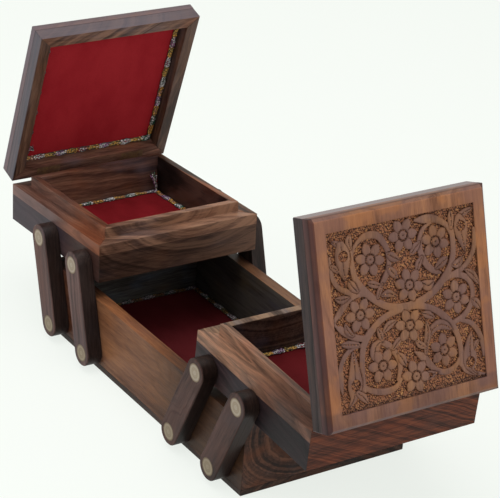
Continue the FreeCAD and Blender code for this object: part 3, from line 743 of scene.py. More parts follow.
@dataclass(frozen=True)
class MetallicBraid:
    """Metallic yarns that change colour from one lozenge of the braid to the next; some shade is painted."""

    silver: Colour = (255, 253, 255)
    gold: Colour = (255, 200, 96)
    green: Colour = (60, 122, 98)
    lilac: Colour = (196, 140, 196)
    rose: Colour = (168, 40, 52)
    shadow: Colour = (30, 28, 30)

    def material(self, name: str) -> bpy.types.Material:
        """Make the yarns' finish; it reads the strand, cell and run attributes of the mesh."""
        surface = Surface(name)
        graph = surface.graph
        strand, cell, run = (
            graph.node("ShaderNodeAttribute", {"attribute_name": label}, output="Fac")
            for label in ("strand", "cell", "run")
        )
        odd = cell.maths("FLOORED_MODULO", 2.0).step(0.9, 1.1)
        change = graph.noise_line(cell.maths("FLOOR") * 0.73 + 4.0, 0.0)
        third = graph.mix(change.step(0.46, 0.5), shade(*self.green), shade(*self.lilac))
        third = graph.mix(change.step(0.58, 0.62), third, shade(*self.rose))
        stray = (strand * 1.7 + cell.maths("FLOOR") * 0.61).maths("FRACT")
        colour = graph.mix(odd, shade(*self.silver), shade(*self.gold))
        colour = graph.mix(stray.step(0.6, 0.64) * (1.0 - odd * 0.5), colour, third)
        # Painted shade: the two outermost yarns and the four flat ones under the braid are made near black,
        # as its edges and gaps in shade.
        dark = strand.step(4.4, 4.6) * (1.0 - strand.step(6.4, 6.6)) + strand.step(8.4, 8.6)
        colour = graph.mix(dark * 0.9, colour, shade(*self.shadow))
        # Painted shade: dark diagonal bands where the yarns twist; the same bands give the bump.
        twist_shade_bands = ((run * 0.55 + strand * 0.13) * math.tau).maths("SINE") * 0.5 + 0.5
        glint = graph.noise(graph.combine(run * 1.3, strand * 9.0, 0.0), 1.0)
        colour = graph.mix(twist_shade_bands.step(0.5, 0.8) * 0.9, colour, shade(*self.shadow))
        return surface.set(
            Base_Color=colour,
            Roughness=glint * 0.4 + 0.12,
            Metallic=glint.step(0.35, 0.6) * 0.2,
            Normal=graph.bump(twist_shade_bands, 0.8, 0.00012),
        )


# The braid in the base, as dim as the photo shows it under the trays.
SHADED_BRAID = MetallicBraid(
    silver=(190, 178, 184), gold=(160, 122, 70), green=(52, 92, 78), lilac=(120, 90, 120),
    rose=(120, 40, 45), shadow=(20, 19, 19),
)


@dataclass(frozen=True)
class Brass:
    """Small hinge brass, darkened by age, with rubbed spots."""

    bright: Colour = (130, 98, 66)
    dull: Colour = (106, 76, 58)

    def material(self, name: str) -> bpy.types.Material:
        """Make the brass."""
        surface = Surface(name)
        graph = surface.graph
        spot = surface.local(Placing())
        stain = graph.noise(spot, 4.0, 0.65, 0.35)
        scratches = graph.noise(graph.vector("MULTIPLY", spot, (0.4, 6.0, 6.0)), 2.0)
        colour = graph.mix(stain.step(0.35, 0.6), shade(*self.bright), shade(*self.dull))
        return surface.set(
            Base_Color=colour,
            Roughness=stain * 0.35 + scratches * 0.2 + 0.2,
            Metallic=stain.step(0.7, 0.4) * 0.15,
            Normal=graph.bump(scratches, 0.2, 0.00005),
        )


# Pieces from meshes.


def add_piece(name: str, mesh: bpy.types.Mesh, body: str) -> bpy.types.Object:
    """Put a finished mesh in the scene and let it ride on its body.

    Args:
        name: the piece's name.
        mesh: its mesh, with its place in it.
        body: the body that it rides on.

    Returns:
        The object.
    """
    mesh.name = name
    piece = bpy.data.objects.new(name, mesh)
    bpy.context.scene.collection.objects.link(piece)
    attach(piece, body)
    log.info("%s: %d faces, on %s", name, len(mesh.polygons), body)
    return piece


def ease(node: bpy.types.Object, width: float = 0.35, segments: int = 2) -> None:
    """Round a solid's arrises with modifiers, which leave its mesh as it is.

    Args:
        node: the solid's object.
        width: the rounding, in millimetres.
        segments: faces across the rounding.
    """
    weld = node.modifiers.new("weld", "WELD")
    weld.merge_threshold = 2e-6
    flatten = node.modifiers.new("flatten", "DECIMATE")
    flatten.decimate_type = "DISSOLVE"
    flatten.angle_limit = math.radians(0.4)
    bevel = node.modifiers.new("ease", "BEVEL")
    bevel.width = width * MM
    bevel.segments = segments
    bevel.limit_method = "ANGLE"
    bevel.angle_limit = math.radians(40)
    bevel.miter_outer = "MITER_ARC"


def dress(node: bpy.types.Object, material: bpy.types.Material) -> None:
    """Give a solid its material."""
    for slot in node.material_slots:
        slot.material = material


class Recipe:
    """A Geometry Nodes tree with named inputs, run to give plain meshes."""

    def __init__(self, name: str, inputs: dict[str, float | int]) -> None:
        """Make the tree and its inputs.

        Args:
            name: the tree's name.
            inputs: each input's name and usual value.
        """
        self.tree = bpy.data.node_groups.new(name, "GeometryNodeTree")
        self.graph = Graph(self.tree)
        self.sockets: dict[str, str] = {}
        for label, value in inputs.items():
            kind = "NodeSocketInt" if isinstance(value, int) else "NodeSocketFloat"
            socket = self.tree.interface.new_socket(name=label, in_out="INPUT", socket_type=kind)
            socket.default_value = value
            self.sockets[label] = socket.identifier
        self.tree.interface.new_socket(name="Mesh", in_out="OUTPUT", socket_type="NodeSocketGeometry")
        self.entry = self.tree.nodes.new("NodeGroupInput")

    def take(self, label: str) -> Wire:
        """The wire of a named input."""
        return Wire(self.graph, self.entry.outputs[label])

    def finish(self, geometry: Wire, material: bpy.types.Material) -> None:
        """Realize the instances, set the material and end the tree."""
        real = self.graph.node("GeometryNodeRealizeInstances", None, {0: geometry})
        dressed = self.graph.node(
            "GeometryNodeSetMaterial", None, {"Geometry": real, "Material": material}
        )
        leave = self.tree.nodes.new("NodeGroupOutput")
        self.tree.links.new(dressed.socket, leave.inputs[0])

    def tubes(self, line: Wire, radius: str, marks: dict[str, Wire | float], caps: bool) -> Wire:
        """Sweep yarns along curves.

        Args:
            line: the curves.
            radius: the input that gives the yarn's radius.
            marks: attributes to store on the yarns.
            caps: whether the ends are closed.

        Returns:
            The yarns' mesh.
        """
        for label, value in marks.items():
            line = self.graph.node(
                "GeometryNodeStoreNamedAttribute",
                {"data_type": "FLOAT", "domain": "POINT"},
                {"Geometry": line, "Name": label, "Value": value},
            )
        ring = self.graph.node(
            "GeometryNodeCurvePrimitiveCircle", None, {"Resolution": 5, "Radius": self.take(radius)}
        )
        return self.graph.node(
            "GeometryNodeCurveToMesh", None, {"Curve": line, "Profile Curve": ring, "Fill Caps": caps}
        )

    def run(self, placing: Placing, values: dict[str, float | int]) -> bpy.types.Mesh:
        """Run the tree once.

        Args:
            placing: where the result goes.
            values: the inputs that differ from the usual ones.

        Returns:
            A plain mesh in metres, with its place in it.
        """
        host = bpy.data.objects.new("host", bpy.data.meshes.new("host"))
        bpy.context.scene.collection.objects.link(host)
        modifier = host.modifiers.new("recipe", "NODES")
        modifier.node_group = self.tree
        for label, value in values.items():
            modifier[self.sockets[label]] = value
        graph = bpy.context.evaluated_depsgraph_get()
        mesh = bpy.data.meshes.new_from_object(
            host.evaluated_get(graph), preserve_all_data_layers=True, depsgraph=graph
        )
        host.modifiers.remove(modifier)
        bpy.data.objects.remove(host)
        mesh.transform(placing.matrix())
        return mesh


def braid_recipe(material: bpy.types.Material) -> Recipe:
    """A braid of thin yarns that open into lozenges and cross between them, round a rectangle.

    Args:
        material: the yarns' finish.

    Returns:
        The recipe; lengths in millimetres, the rectangle centred and lying flat at z 0.
    """
    recipe = Recipe(
        "lozenge_braid",
        {
            "Width": 80.0, "Length": 80.0, "Corner": 1.6, "Cell": 7.3, "Spread": 1.8,
            "Lift": 0.25, "Yarn": 0.27, "Steps": 18, "Unevenness": 0.5,
        },
    )
    graph = recipe.graph
    frame = graph.node(
        "GeometryNodeCurvePrimitiveQuadrilateral",
        None,
        {"Width": recipe.take("Width"), "Height": recipe.take("Length")},
    )
    rounded = graph.node(
        "GeometryNodeFilletCurve",
        {"mode": "POLY"},
        {"Curve": frame, "Count": 6, "Radius": recipe.take("Corner")},
    )
    cells = (graph.node("GeometryNodeCurveLength", None, {0: rounded}) / recipe.take("Cell") / 2.0)
    cells = cells.maths("ROUND") * 2.0
    path = graph.node(
        "GeometryNodeResampleCurve",
        {"mode": "COUNT"},
        {"Curve": rounded, "Count": cells * recipe.take("Steps")},
    )
    cell = graph.node("GeometryNodeSplineParameter", output="Factor") * cells
    tangent = graph.node("GeometryNodeInputTangent")
    side = graph.vector("CROSS_PRODUCT", tangent, (0.0, 0.0, 1.0))
    place = graph.node("GeometryNodeInputPosition")
    wobble = (graph.noise(place, 1.0, 0.5, 0.55) - 0.5) * recipe.take("Unevenness")
    odd = cell.maths("FLOORED_MODULO", 2.0).step(0.95, 1.05)
    change = graph.noise_line(cell.maths("FLOOR") * 1.37 + recipe.take("Width"), 0.0) * 0.8 + 0.6
    open_out = (cell * math.pi).maths("SINE") * recipe.take("Spread") * (1.0 - odd * 0.25) * change
    joined = recipe.tree.nodes.new("GeometryNodeJoinGeometry")
    bows = {
        0: recipe.take("Spread"), 1: open_out, 3: (cell * (math.pi * 3)).maths("SINE") * recipe.take("Spread")
    }
    # The last four yarns lie flat under the rest; the finish paints them near black as the shade in the
    # braid's gaps.
    for number, (reach, waves, level) in enumerate((
        (0.95, 1, 0.0), (0.5, 1, 0.02), (0.1, 1, 0.04), (-0.35, 1, 0.06), (-0.8, 1, 0.08), (1.15, 1, 0.1),
        (-1.1, 1, 0.12), (0.8, 3, 0.14), (-0.8, 3, 0.16), (0.62, 0, -0.2), (-0.62, 0, -0.2), (0.25, 0, -0.2),
        (-0.25, 0, -0.2),
    )):
        across = bows[waves] * reach + wobble
        rise = (cell * (math.pi * 2) + number * 1.9).maths("SINE") * recipe.take("Lift")
        lift = rise * min(waves, 1) + level
        shift = graph.vector("ADD", graph.scaled(side, across), graph.combine(0.0, 0.0, lift))
        yarn = graph.node("GeometryNodeSetPosition", None, {"Geometry": path, "Offset": shift})
        run = graph.node("GeometryNodeSplineParameter", output="Length")
        tube = recipe.tubes(yarn, "Yarn", {"strand": float(number), "run": run, "cell": cell}, False)
        recipe.tree.links.new(tube.socket, joined.inputs[0])
    recipe.finish(Wire(graph, joined.outputs[0]), material)
    return recipe


def fray_recipe(material: bpy.types.Material) -> Recipe:
    """A tuft of loose yarns that springs from one point.

    Args:
        material: the yarns' finish.

    Returns:
        The recipe; lengths in millimetres, the tuft stands along z.
    """
    recipe = Recipe(
        "frayed_end",
        {"Yarns": 9, "Height": 9.0, "Splay": 0.5, "Curl": 2.4, "Thickness": 0.2, "Seed": 3},
    )
    graph = recipe.graph
    line = graph.node(
        "GeometryNodeCurvePrimitiveLine", None, {"End": graph.combine(0.0, 0.0, recipe.take("Height"))}
    )
    yarn = graph.node("GeometryNodeResampleCurve", {"mode": "COUNT"}, {"Curve": line, "Count": 14})
    points = graph.node(
        "GeometryNodeMeshLine", None, {"Count": recipe.take("Yarns"), "Offset": (0.0, 0.0, 0.0)}
    )
    spread = recipe.take("Splay")
    turn = graph.node(
        "FunctionNodeRandomValue",
        {"data_type": "FLOAT_VECTOR"},
        {
            "Min": graph.combine(spread * -1.0, spread * -1.0, -3.1),
            "Max": graph.combine(spread, spread, 3.1),
            "Seed": recipe.take("Seed"),
        },
    )
    size = graph.node(
        "FunctionNodeRandomValue",
        {"data_type": "FLOAT"},
        {2: 0.45, 3: 1.0, "Seed": recipe.take("Seed") + 5.0},
        output=1,
    )
    tuft = graph.node(
        "GeometryNodeInstanceOnPoints",
        None,
        {"Points": points, "Instance": yarn, "Rotation": turn, "Scale": size},
    )
    real = graph.node("GeometryNodeRealizeInstances", None, {0: tuft})
    factor = graph.node("GeometryNodeSplineParameter", output="Factor")
    index = graph.node("GeometryNodeInputIndex")
    which = (index / 14.0).maths("FLOOR")
    place = graph.node("GeometryNodeInputPosition")
    sway = graph.node(
        "ShaderNodeTexNoise",
        {"noise_dimensions": "4D"},
        {"Vector": place, "W": which * 3.7, "Scale": 0.16, "Detail": 1.0},
        output="Color",
    )
    reach = factor * recipe.take("Curl") * 2.0
    offset = graph.scaled(graph.vector("SUBTRACT", sway, (0.5, 0.5, 0.5)), reach)
    curled = graph.node("GeometryNodeSetPosition", None, {"Geometry": real, "Offset": offset})
    marks = {"strand": which.maths("FLOORED_MODULO", 4.0), "run": factor * 8.0, "cell": which * 2.0}
    tube = recipe.tubes(curled, "Thickness", marks, True)
    recipe.finish(tube, material)
    return recipe


# Carving.


Point = tuple[float, float, float]

# Stems and rings of the carved field: x from its left, y from its top, half-width.
STEMS: tuple[tuple[Point, ...], ...] = (
    ((13.3, 9, 1.3), (13.1, 14, 1.3), (13.5, 20, 1.4), (15, 25, 1.6), (19, 30.5, 1.8), (24, 35.2, 1.7),
     (30, 39.3, 1.7), (37, 41.6, 1.8), (43.5, 42.3, 2.0)),
    ((13.4, 12, 0.9), (15.2, 9, 0.9), (18, 6.5, 1.0), (21, 5, 1.5), (25, 4.8, 1.7), (29, 6, 1.7),
     (31.8, 9.5, 1.5), (33.8, 13.5, 1.4), (34.3, 18, 1.3), (33.4, 22.5, 1.4), (31, 26.5, 1.4),
     (28.2, 29.8, 0.9)),
    ((43.5, 42.3, 2.0), (51, 41, 1.8), (57, 38.8, 1.8), (62.5, 35.4, 1.8), (67, 31.2, 1.8),
     (70.4, 26.6, 1.6), (72, 21, 1.5), (72.3, 15, 1.4), (71.6, 9, 1.3)),
    ((71.8, 13, 1.0), (69.6, 8.6, 1.2), (66, 5.6, 1.5), (61, 3.4, 1.9), (56, 2.9, 1.9), (51, 2.6, 0.7)),
    ((60, 5.4, 0.6), (56, 7, 1.0), (53.4, 10.4, 1.2), (52.5, 15, 1.4), (53.4, 20, 1.6), (56, 25, 1.6),
     (60, 28.4, 1.4), (63.6, 30, 0.6)),
    ((43.5, 42.3, 1.6), (36, 43, 1.5), (30, 44.3, 1.5), (25.4, 46.3, 1.6), (21.4, 49.2, 1.7),
     (17.8, 52.4, 1.8), (15.4, 56.5, 1.6), (14.2, 62, 1.4), (13.6, 69, 1.4), (13.6, 77, 1.3)),
    ((13.6, 74.5, 1.0), (17, 77.2, 1.3), (21.6, 79, 1.5), (27, 79.8, 1.5), (32, 79, 1.3), (35.4, 76, 0.9)),
    ((24, 55.4, 0.9), (28.6, 57.4, 1.5), (32.4, 61.4, 1.5), (34.9, 66, 1.4), (35.3, 71, 1.3),
     (33.6, 75.6, 0.9)),
    ((43.5, 42.3, 1.6), (50, 43.4, 1.5), (56.4, 45.8, 1.5), (61.6, 49.3, 1.6), (66, 53.8, 1.7),
     (69.4, 59, 1.5), (71.3, 64.6, 1.4), (71.9, 70.4, 1.4), (71.4, 76.5, 1.2)),
    ((44.6, 64.6, 0.4), (48.4, 67.4, 1.7), (52, 71.4, 1.7), (55.2, 75, 1.4), (59.6, 77.6, 1.4),
     (64.4, 77.9, 1.4), (68.6, 76, 1.2), (71.2, 72.6, 0.9)),
    ((19, 31.4, 1.5), (15, 31.2, 1.3), (9.6, 32.6, 1.5), (5.4, 36.2, 1.6), (1.4, 40.4, 1.3)),
    ((1, 42.6, 0.9), (4.6, 46.2, 1.6), (8.8, 49.4, 1.6), (13.4, 51.6, 1.5), (17.6, 52.4, 1.2)),
    ((64.6, 34.2, 1.2), (69.6, 32.6, 1.3), (75, 33.2, 1.4), (79.4, 36, 1.4), (81.6, 40.4, 1.3),
     (81.4, 45.4, 1.3), (79, 50, 1.4), (75, 53.4, 1.4), (69.6, 55, 1.2)),
    ((0.9, 11.5, 0.7), (1.1, 17, 1.1), (2, 22, 1.2), (5, 26.2, 1.2), (10, 29.2, 1.3), (15.6, 31.4, 1.3)),
    ((85.2, 12.4, 0.8), (85.4, 17, 1.3), (84.4, 22, 1.3), (81.4, 26.6, 1.2), (76.8, 30.2, 1.3),
     (70, 32.2, 1.2)),
    ((13.6, 55, 0.9), (8.8, 55.8, 1.1), (4.6, 58.6, 1.2), (1.8, 63, 1.2), (1.2, 69, 1.6), (1.4, 76, 0.4)),
    ((71.6, 76, 1.2), (74.2, 79.8, 1.4), (79, 82.4, 1.2), (85, 84, 0.5)),
    ((73.6, 55.2, 0.9), (79, 57.4, 1.2), (82.8, 62, 1.3), (85, 67.6, 1.3), (85.4, 75, 0.6)),
)

# Leaves, buds and pods, in the same way.
LEAVES: tuple[tuple[Point, ...], ...] = (
    ((12.9, 9, 1.0), (12.6, 5.5, 1.6), (13.3, 2.2, 0.3)),
    ((21, 26.8, 0.4), (24, 28, 1.5), (28.5, 29.6, 0.8)),
    ((26.3, 34.5, 0.9), (27.6, 31.6, 1.2), (29.4, 28.8, 0.5)),
    ((33.8, 15.5, 0.8), (36.6, 17.4, 1.9), (40.4, 19.6, 0.4)),
    ((33.4, 22, 0.9), (35.8, 24.6, 1.8), (38.4, 27.8, 0.4)),
    ((29, 34.2, 0.8), (32.6, 33.9, 1.6), (36.4, 36, 0.5)),
    ((71.9, 9.5, 1.0), (72.2, 5.2, 1.5), (72, 1.6, 0.4)),
    ((61, 27.4, 0.6), (65, 25.2, 2.0), (68, 23.6, 0.6)),
    ((52.4, 13.5, 0.8), (49.6, 15.6, 1.7), (46.6, 18.4, 0.4)),
    ((53.2, 20.6, 0.8), (51, 23.6, 1.5), (49.4, 27.5, 0.4)),
    ((52.6, 32.8, 0.7), (55.6, 34.6, 2.2), (59, 33.4, 0.6)),
    ((25.4, 55.6, 0.8), (22.4, 57.6, 2.0), (21.6, 61, 2.1), (22.6, 65, 0.6)),
    ((29, 60, 0.5), (27.4, 62.5, 1.2), (25.4, 63.6, 0.5)),
    ((35, 63.5, 0.7), (37.2, 66.6, 1.9), (38.8, 70, 0.4)),
    ((28, 51.4, 0.8), (31.2, 48.9, 1.7), (35.4, 47.6, 0.5)),
    ((24.6, 49.4, 0.6), (25.8, 52.4, 1.4), (26.8, 56, 0.5)),
    ((32.4, 60.4, 0.9), (35.6, 57.6, 1.4), (39.4, 56, 0.5)),
    ((53.8, 60.6, 0.6), (55.6, 56.6, 1.5), (60, 54.6, 2.1), (64.4, 56, 1.6), (67.6, 58.6, 0.4)),
    ((50.8, 47, 0.5), (54, 48.4, 1.6), (57.6, 50.4, 0.6)),
    ((53, 52, 0.6), (53.2, 57, 1.5), (52, 62, 1.3), (51.2, 66.5, 0.9)),
    ((45.6, 59.4, 0.4), (48.4, 62, 1.5), (51.6, 64, 0.6)),
    ((48.6, 77.6, 0.6), (52, 77.6, 1.9), (57, 77.4, 0.4)),
    ((6.6, 44, 0.6), (7.6, 47, 1.5), (10, 49.6, 0.8)),
    ((2.6, 31, 0.5), (5.8, 31.9, 1.7), (9.6, 31.6, 0.7)),
    ((78.6, 31.4, 0.6), (82.4, 34.4, 1.7), (86, 39.4, 0.7)),
    ((81.4, 46.6, 0.7), (83.6, 48.6, 1.9), (85.6, 51.6, 0.5)),
    ((2.6, 4.2, 0.3), (5.4, 5.6, 1.3), (9, 7.6, 1.6)),
    ((8, 7.4, 2.2), (8.4, 12.2, 3.5), (8.3, 18, 2.4), (8.7, 23.6, 0.3)),
    ((10.8, 24, 0.4), (12.2, 26.6, 1.8), (14.6, 29.6, 0.9)),
    ((5.4, 19.4, 0.3), (3.6, 17, 1.3), (1.6, 15.6, 0.8)),
    ((86, 2.4, 0.4), (81, 3.6, 1.4), (76.4, 5.8, 1.4)),
    ((77, 6.4, 2.0), (77.6, 10.4, 3.3), (78, 15.4, 2.4), (79.2, 22.6, 0.4)),
    ((71.4, 27.8, 0.8), (74.6, 27.4, 1.8), (77.6, 24.6, 0.4)),
    ((9.4, 58, 0.7), (9.4, 64, 2.0), (9, 73, 3.4), (7.6, 79, 1.6), (4.4, 83.2, 0.4)),
    ((10.4, 77.4, 1.2), (13, 79.8, 1.6), (15.6, 83.4, 0.4)),
    ((3.4, 52.6, 0.5), (7.4, 53.4, 1.6), (12.6, 54.4, 1.0)),
    ((79, 62.6, 0.6), (77.6, 67, 1.9), (77, 74.8, 3.5), (77.4, 80, 1.4), (80.6, 83.4, 0.4)),
    ((83.4, 66.6, 0.4), (81.4, 68.4, 1.2), (80.6, 71, 0.4)),
)

# Flowers: x, y, the turn of the first petal in degrees.
FLOWERS: tuple[Point, ...] = (
    (23.6, 16.3, 12), (61.9, 14.6, 20), (43.4, 8.3, 0), (44.7, 32.3, 15), (15.3, 41.0, 0),
    (71.6, 43.3, 25), (43.0, 51.4, 10), (25.6, 67.4, 5), (62.0, 67.2, 25), (44.3, 76.4, 12),
)

# Round eyes in the pods.
EYES: tuple[Point, ...] = (
    (8.6, 12.0, 2.5), (77.6, 9.8, 2.5), (9.3, 73.2, 2.6), (76.9, 76.4, 2.6), (2.9, 42.0, 1.5),
    (32.6, 52.6, 1.4), (52.8, 77.6, 1.0),
)


# Insets from the board's edge and how far its face has fallen there: side, bevel and border.
EDGE: tuple[tuple[float, float], ...] = (
    (0.0, 2.3), (0.08, 1.98), (0.25, 1.76), (1.8, 0.2), (1.98, 0.06), (2.3, 0.0), (5.0, 0.0),
    (7.75, 0.0), (7.95, 0.14),
)


@dataclass
class CarvedBoard:
    """A lid's board: bevelled edges and a sunk field with scrolls and flowers."""

    width: float = 102.0
    length: float = 101.625
    low: float = 8.0
    top_face: float = 14.0
    border: float = 8.0
    depth: float = 1.8
    step: float = 0.31
    raised: float = 1.66
    ground: float = 0.3
    swell: float = 1.1
    leaf_swell: float = 1.22
    punch_pitch: float = 1.05
    seed: int = 11
    height: np.ndarray = field(init=False)
    relief: np.ndarray = field(init=False)
    punched: np.ndarray = field(init=False)
    columns: np.ndarray = field(init=False)
    rows: np.ndarray = field(init=False)

    def __post_init__(self) -> None:
        """Lay out the field's grid."""
        across, down = self.width - 2 * self.border, self.length - 2 * self.border
        self.columns = np.linspace(0, across, int(across / self.step) + 1)
        self.rows = np.linspace(0, down, int(down / self.step) + 1)
        shape = (len(self.rows), len(self.columns))
        self.height = np.full(shape, self.ground)
        self.relief = np.zeros(shape)
        self.punched = np.zeros(shape)

    def _window(self, x: float, y: float, reach: float) -> tuple[slice, slice]:
        """The part of the grid within reach of a point."""
        first_column, last_column = np.searchsorted(self.columns, (x - reach, x + reach))
        first_row, last_row = np.searchsorted(self.rows, (y - reach, y + reach))
        return slice(first_row, last_row), slice(first_column, last_column)

    def _distance(self, knots: Sequence[Point]) -> np.ndarray:
        """Distance outside a stroke of varying half-width, negative within it.

        Args:
            knots: points of the stroke with half-widths.

        Returns:
            One value a grid point, large where the stroke is far.
        """
        line = smooth_line(knots, 5)
        far = np.full(self.height.shape, 9.0)
        for (x0, y0, w0), (x1, y1, w1) in zip(line, line[1:]):
            run = math.hypot(x1 - x0, y1 - y0)
            rows, columns = self._window((x0 + x1) / 2, (y0 + y1) / 2, run / 2 + max(w0, w1) + 2.5)
            x, y = np.meshgrid(self.columns[columns], self.rows[rows])
            share = ((x - x0) * (x1 - x0) + (y - y0) * (y1 - y0)) / max(run * run, 1e-9)
            share = np.clip(share, 0, 1)
            gap = np.hypot(x - x0 - share * (x1 - x0), y - y0 - share * (y1 - y0))
            gap -= w0 + share * (w1 - w0)
            far[rows, columns] = np.minimum(far[rows, columns], gap)
        return far

    def _stamp(self, gap: np.ndarray, top: float, crown: float = 0.35, groove: float = 0.55) -> None:
        """Raise a shape, with a cut line round it where it crosses what is there.

        Args:
            gap: signed distance to the shape's edge.
            top: its height above the field's bottom.
            crown: how much its edges fall away.
            groove: width of the cut line.
        """
        within = gap < 0
        beside = (gap >= 0) & (gap < groove)
        cut = self.ground + (top - self.ground) * (0.35 + 0.5 * gap / groove)
        self.height[beside] = np.minimum(self.height[beside], cut[beside])
        self.relief[beside] = np.minimum(self.relief[beside], (0.3 + 0.6 * gap / groove)[beside])
        depth = np.clip(-gap / 1.2, 0, 1)
        self.height[within] = (top - crown * (1 - depth) ** 2)[within]
        self.relief[within] = np.clip(0.5 + depth * 1.6, 0, 1)[within]

    def _cut(self, gap: np.ndarray, depth: float, width: float) -> None:
        """Cut a narrow line where a distance is near 0."""
        share = np.clip(1 - np.abs(gap) / width, 0, 1)
        self.height = np.where(share > 0, self.height - depth * share, self.height)
        self.relief = np.where(share > 0, self.relief * (1 - 0.9 * share), self.relief)

    def _reach(self, x: float, y: float) -> np.ndarray:
        """Distance of each grid point from a point."""
        grid_x, grid_y = np.meshgrid(self.columns - x, self.rows - y)
        return np.hypot(grid_x, grid_y)

    def _flower(self, x: float, y: float, turn: float) -> None:
        """Six pointed petals, a ring and an eye."""
        for petal in range(6):
            angle = math.radians(turn + petal * 60)
            dx, dy = math.cos(angle), math.sin(angle)
            shape = ((1.4, 1.0), (3.4, 1.8), (5.2, 2.45), (6.8, 1.5), (8.3, 0.25))
            knots = [(x + dx * r, y + dy * r, w) for r, w in shape]
            self._stamp(self._distance(knots), self.raised - 0.1 * (petal % 2), 0.5, 0.3)
        reach = self._reach(x, y)
        self._stamp(reach - 2.9, self.raised + 0.06, 0.1, 0.3)
        self._cut(reach - 2.35, 0.85, 0.6)
        self._cut(reach, 0.8, 0.75)

    def _eye(self, x: float, y: float, radius: float) -> None:
        """A punched round hollow in a pod."""
        reach = self._reach(x, y)
        inside = reach < radius
        self.height[inside] = self.ground + 0.4
        self.relief[inside] = 0.1
        self._cut(reach - radius, 0.2, 0.4)

    def _punch_ground(self) -> None:
        """Cover the sunk ground with punch marks."""
        random = np.random.default_rng(self.seed)
        grid_x, grid_y = np.meshgrid(self.columns, self.rows)
        marks = np.zeros(self.height.shape)
        for row, y in enumerate(np.arange(0.4, self.rows[-1], self.punch_pitch * 0.87)):
            for x in np.arange(0.4 + (row % 2) * self.punch_pitch / 2, self.columns[-1], self.punch_pitch):
                px, py = x + random.uniform(-0.25, 0.25), y + random.uniform(-0.25, 0.25)
                size = random.uniform(0.42, 0.66)
                rows, columns = self._window(px, py, size + 0.2)
                reach = np.hypot(grid_x[rows, columns] - px, grid_y[rows, columns] - py) / size
                mark = np.clip(1 - reach * reach, 0, 1) * random.uniform(0.4, 1.0)
                marks[rows, columns] = np.maximum(marks[rows, columns], mark)
        low = self.relief < 0.3
        self.height[low] += marks[low] * 0.6 - 0.15
        self.punched[low] = marks[low]

    def carve(self) -> None:
        """Cut the whole pattern into the field."""
        stems = [[(x, y, w * self.swell) for x, y, w in knots] for knots in STEMS]
        self._stamp(np.minimum.reduce([self._distance(knots) for knots in stems]), self.raised)
        for knots in LEAVES:
            swollen = [(x, y, w * self.leaf_swell) for x, y, w in knots]
            self._stamp(self._distance(swollen), self.raised - 0.08, 0.45, 0.35)
            self._cut(self._distance([(x, y, -0.3 + w * 0.1) for x, y, w in knots]), 0.35, 0.3)
        for flower in FLOWERS:
            self._flower(*flower)
        for eye in EYES:
            self._eye(*eye)
        self._punch_ground()
        self.height = np.clip(self.height, 0.1, self.depth - 0.02)

    def mesh(self, placing: Placing) -> bpy.types.Mesh:
        """Carve the board and return it as one closed mesh.

        Args:
            placing: the lid's frame.

        Returns:
            The mesh, in metres, with its relief and punch attributes.
        """
        self.carve()
        inset = np.array(EDGE)[:, 0]
        start, end = inset - self.border, self.border - inset[::-1]
        cut_x = np.concatenate([start, self.columns, self.columns[-1] + end])
        cut_y = np.concatenate([start, self.rows, self.rows[-1] + end])
        cut_x[len(inset)], cut_x[-len(inset) - 1] = 0.03, self.columns[-1] - 0.03
        cut_y[len(inset)], cut_y[-len(inset) - 1] = 0.03, self.rows[-1] - 0.03
        grid_x, grid_y = np.meshgrid(cut_x, cut_y)
        edge_x = np.minimum(grid_x + self.border, self.width - self.border - grid_x)
        edge_y = np.minimum(grid_y + self.border, self.length - self.border - grid_y)
        fall = np.interp(np.minimum(edge_x, edge_y), inset, np.array(EDGE)[:, 1])
        z = self.top_face - fall
        inner = (slice(len(inset), -len(inset)),) * 2
        z[inner] = self.top_face - self.depth + self.height
        # Relief also steers the colour: where it is low, the finish paints the dark ground colours, partly as
        # painted shade.
        relief, punch = np.clip(1.3 - fall * 0.42, 0.45, 1.3), np.zeros_like(z)
        relief[inner], punch[inner] = self.relief, self.punched
        points = np.stack([self.width / 2 - self.border - grid_x, grid_y + self.border, z], -1)
        return self._close(points, relief, punch, len(inset), placing)

    def _close(
        self, points: np.ndarray, relief: np.ndarray, punch: np.ndarray, edge: int, placing: Placing
    ) -> bpy.types.Mesh:
        """Make faces from the grid of points, with sides and an underside.

        Args:
            points: the show side.
            relief: one value a point.
            punch: one value a point.
            edge: grid lines outside the field, on each side.
            placing: the lid's frame.

        Returns:
            The mesh.
        """
        count_rows, count_columns = relief.shape
        rim = grid_rim(count_rows, count_columns)
        upper = points.reshape(-1, 3)
        lower = upper[rim].copy()
        lower[:, 2] = self.low
        index = np.arange(count_rows * count_columns).reshape(count_rows, count_columns)
        quads = np.stack([index[:-1, :-1], index[1:, :-1], index[1:, 1:], index[:-1, 1:]], -1)
        for rows, columns in ((slice(0, edge), slice(-edge, None)), (slice(-edge, None), slice(0, edge))):
            quads[rows, columns] = np.roll(quads[rows, columns], 1, axis=-1)
        start, count = len(upper), np.arange(len(rim))
        after = np.roll(count, -1)
        sides = np.stack([rim, rim[after], start + after, start + count], -1)
        faces = [tuple(q) for q in quads.reshape(-1, 4).tolist()] + [tuple(q) for q in sides.tolist()]
        faces.append(tuple(range(start + len(rim) - 1, start - 1, -1)))
        mesh = bpy.data.meshes.new("board")
        mesh.from_pydata(np.vstack([upper, lower]).tolist(), [], faces)
        for label, values in (("relief", relief), ("punch", punch)):
            layer = mesh.attributes.new(label, "FLOAT", "POINT")
            full = np.concatenate([values.reshape(-1), np.full(len(rim), 0.8 if label == "relief" else 0.0)])
            layer.data.foreach_set("value", full.astype(np.float32))
        mesh.transform(placing.matrix())
        mesh.shade_smooth()
        mesh.set_sharp_from_angle(angle=math.radians(38))
        return mesh


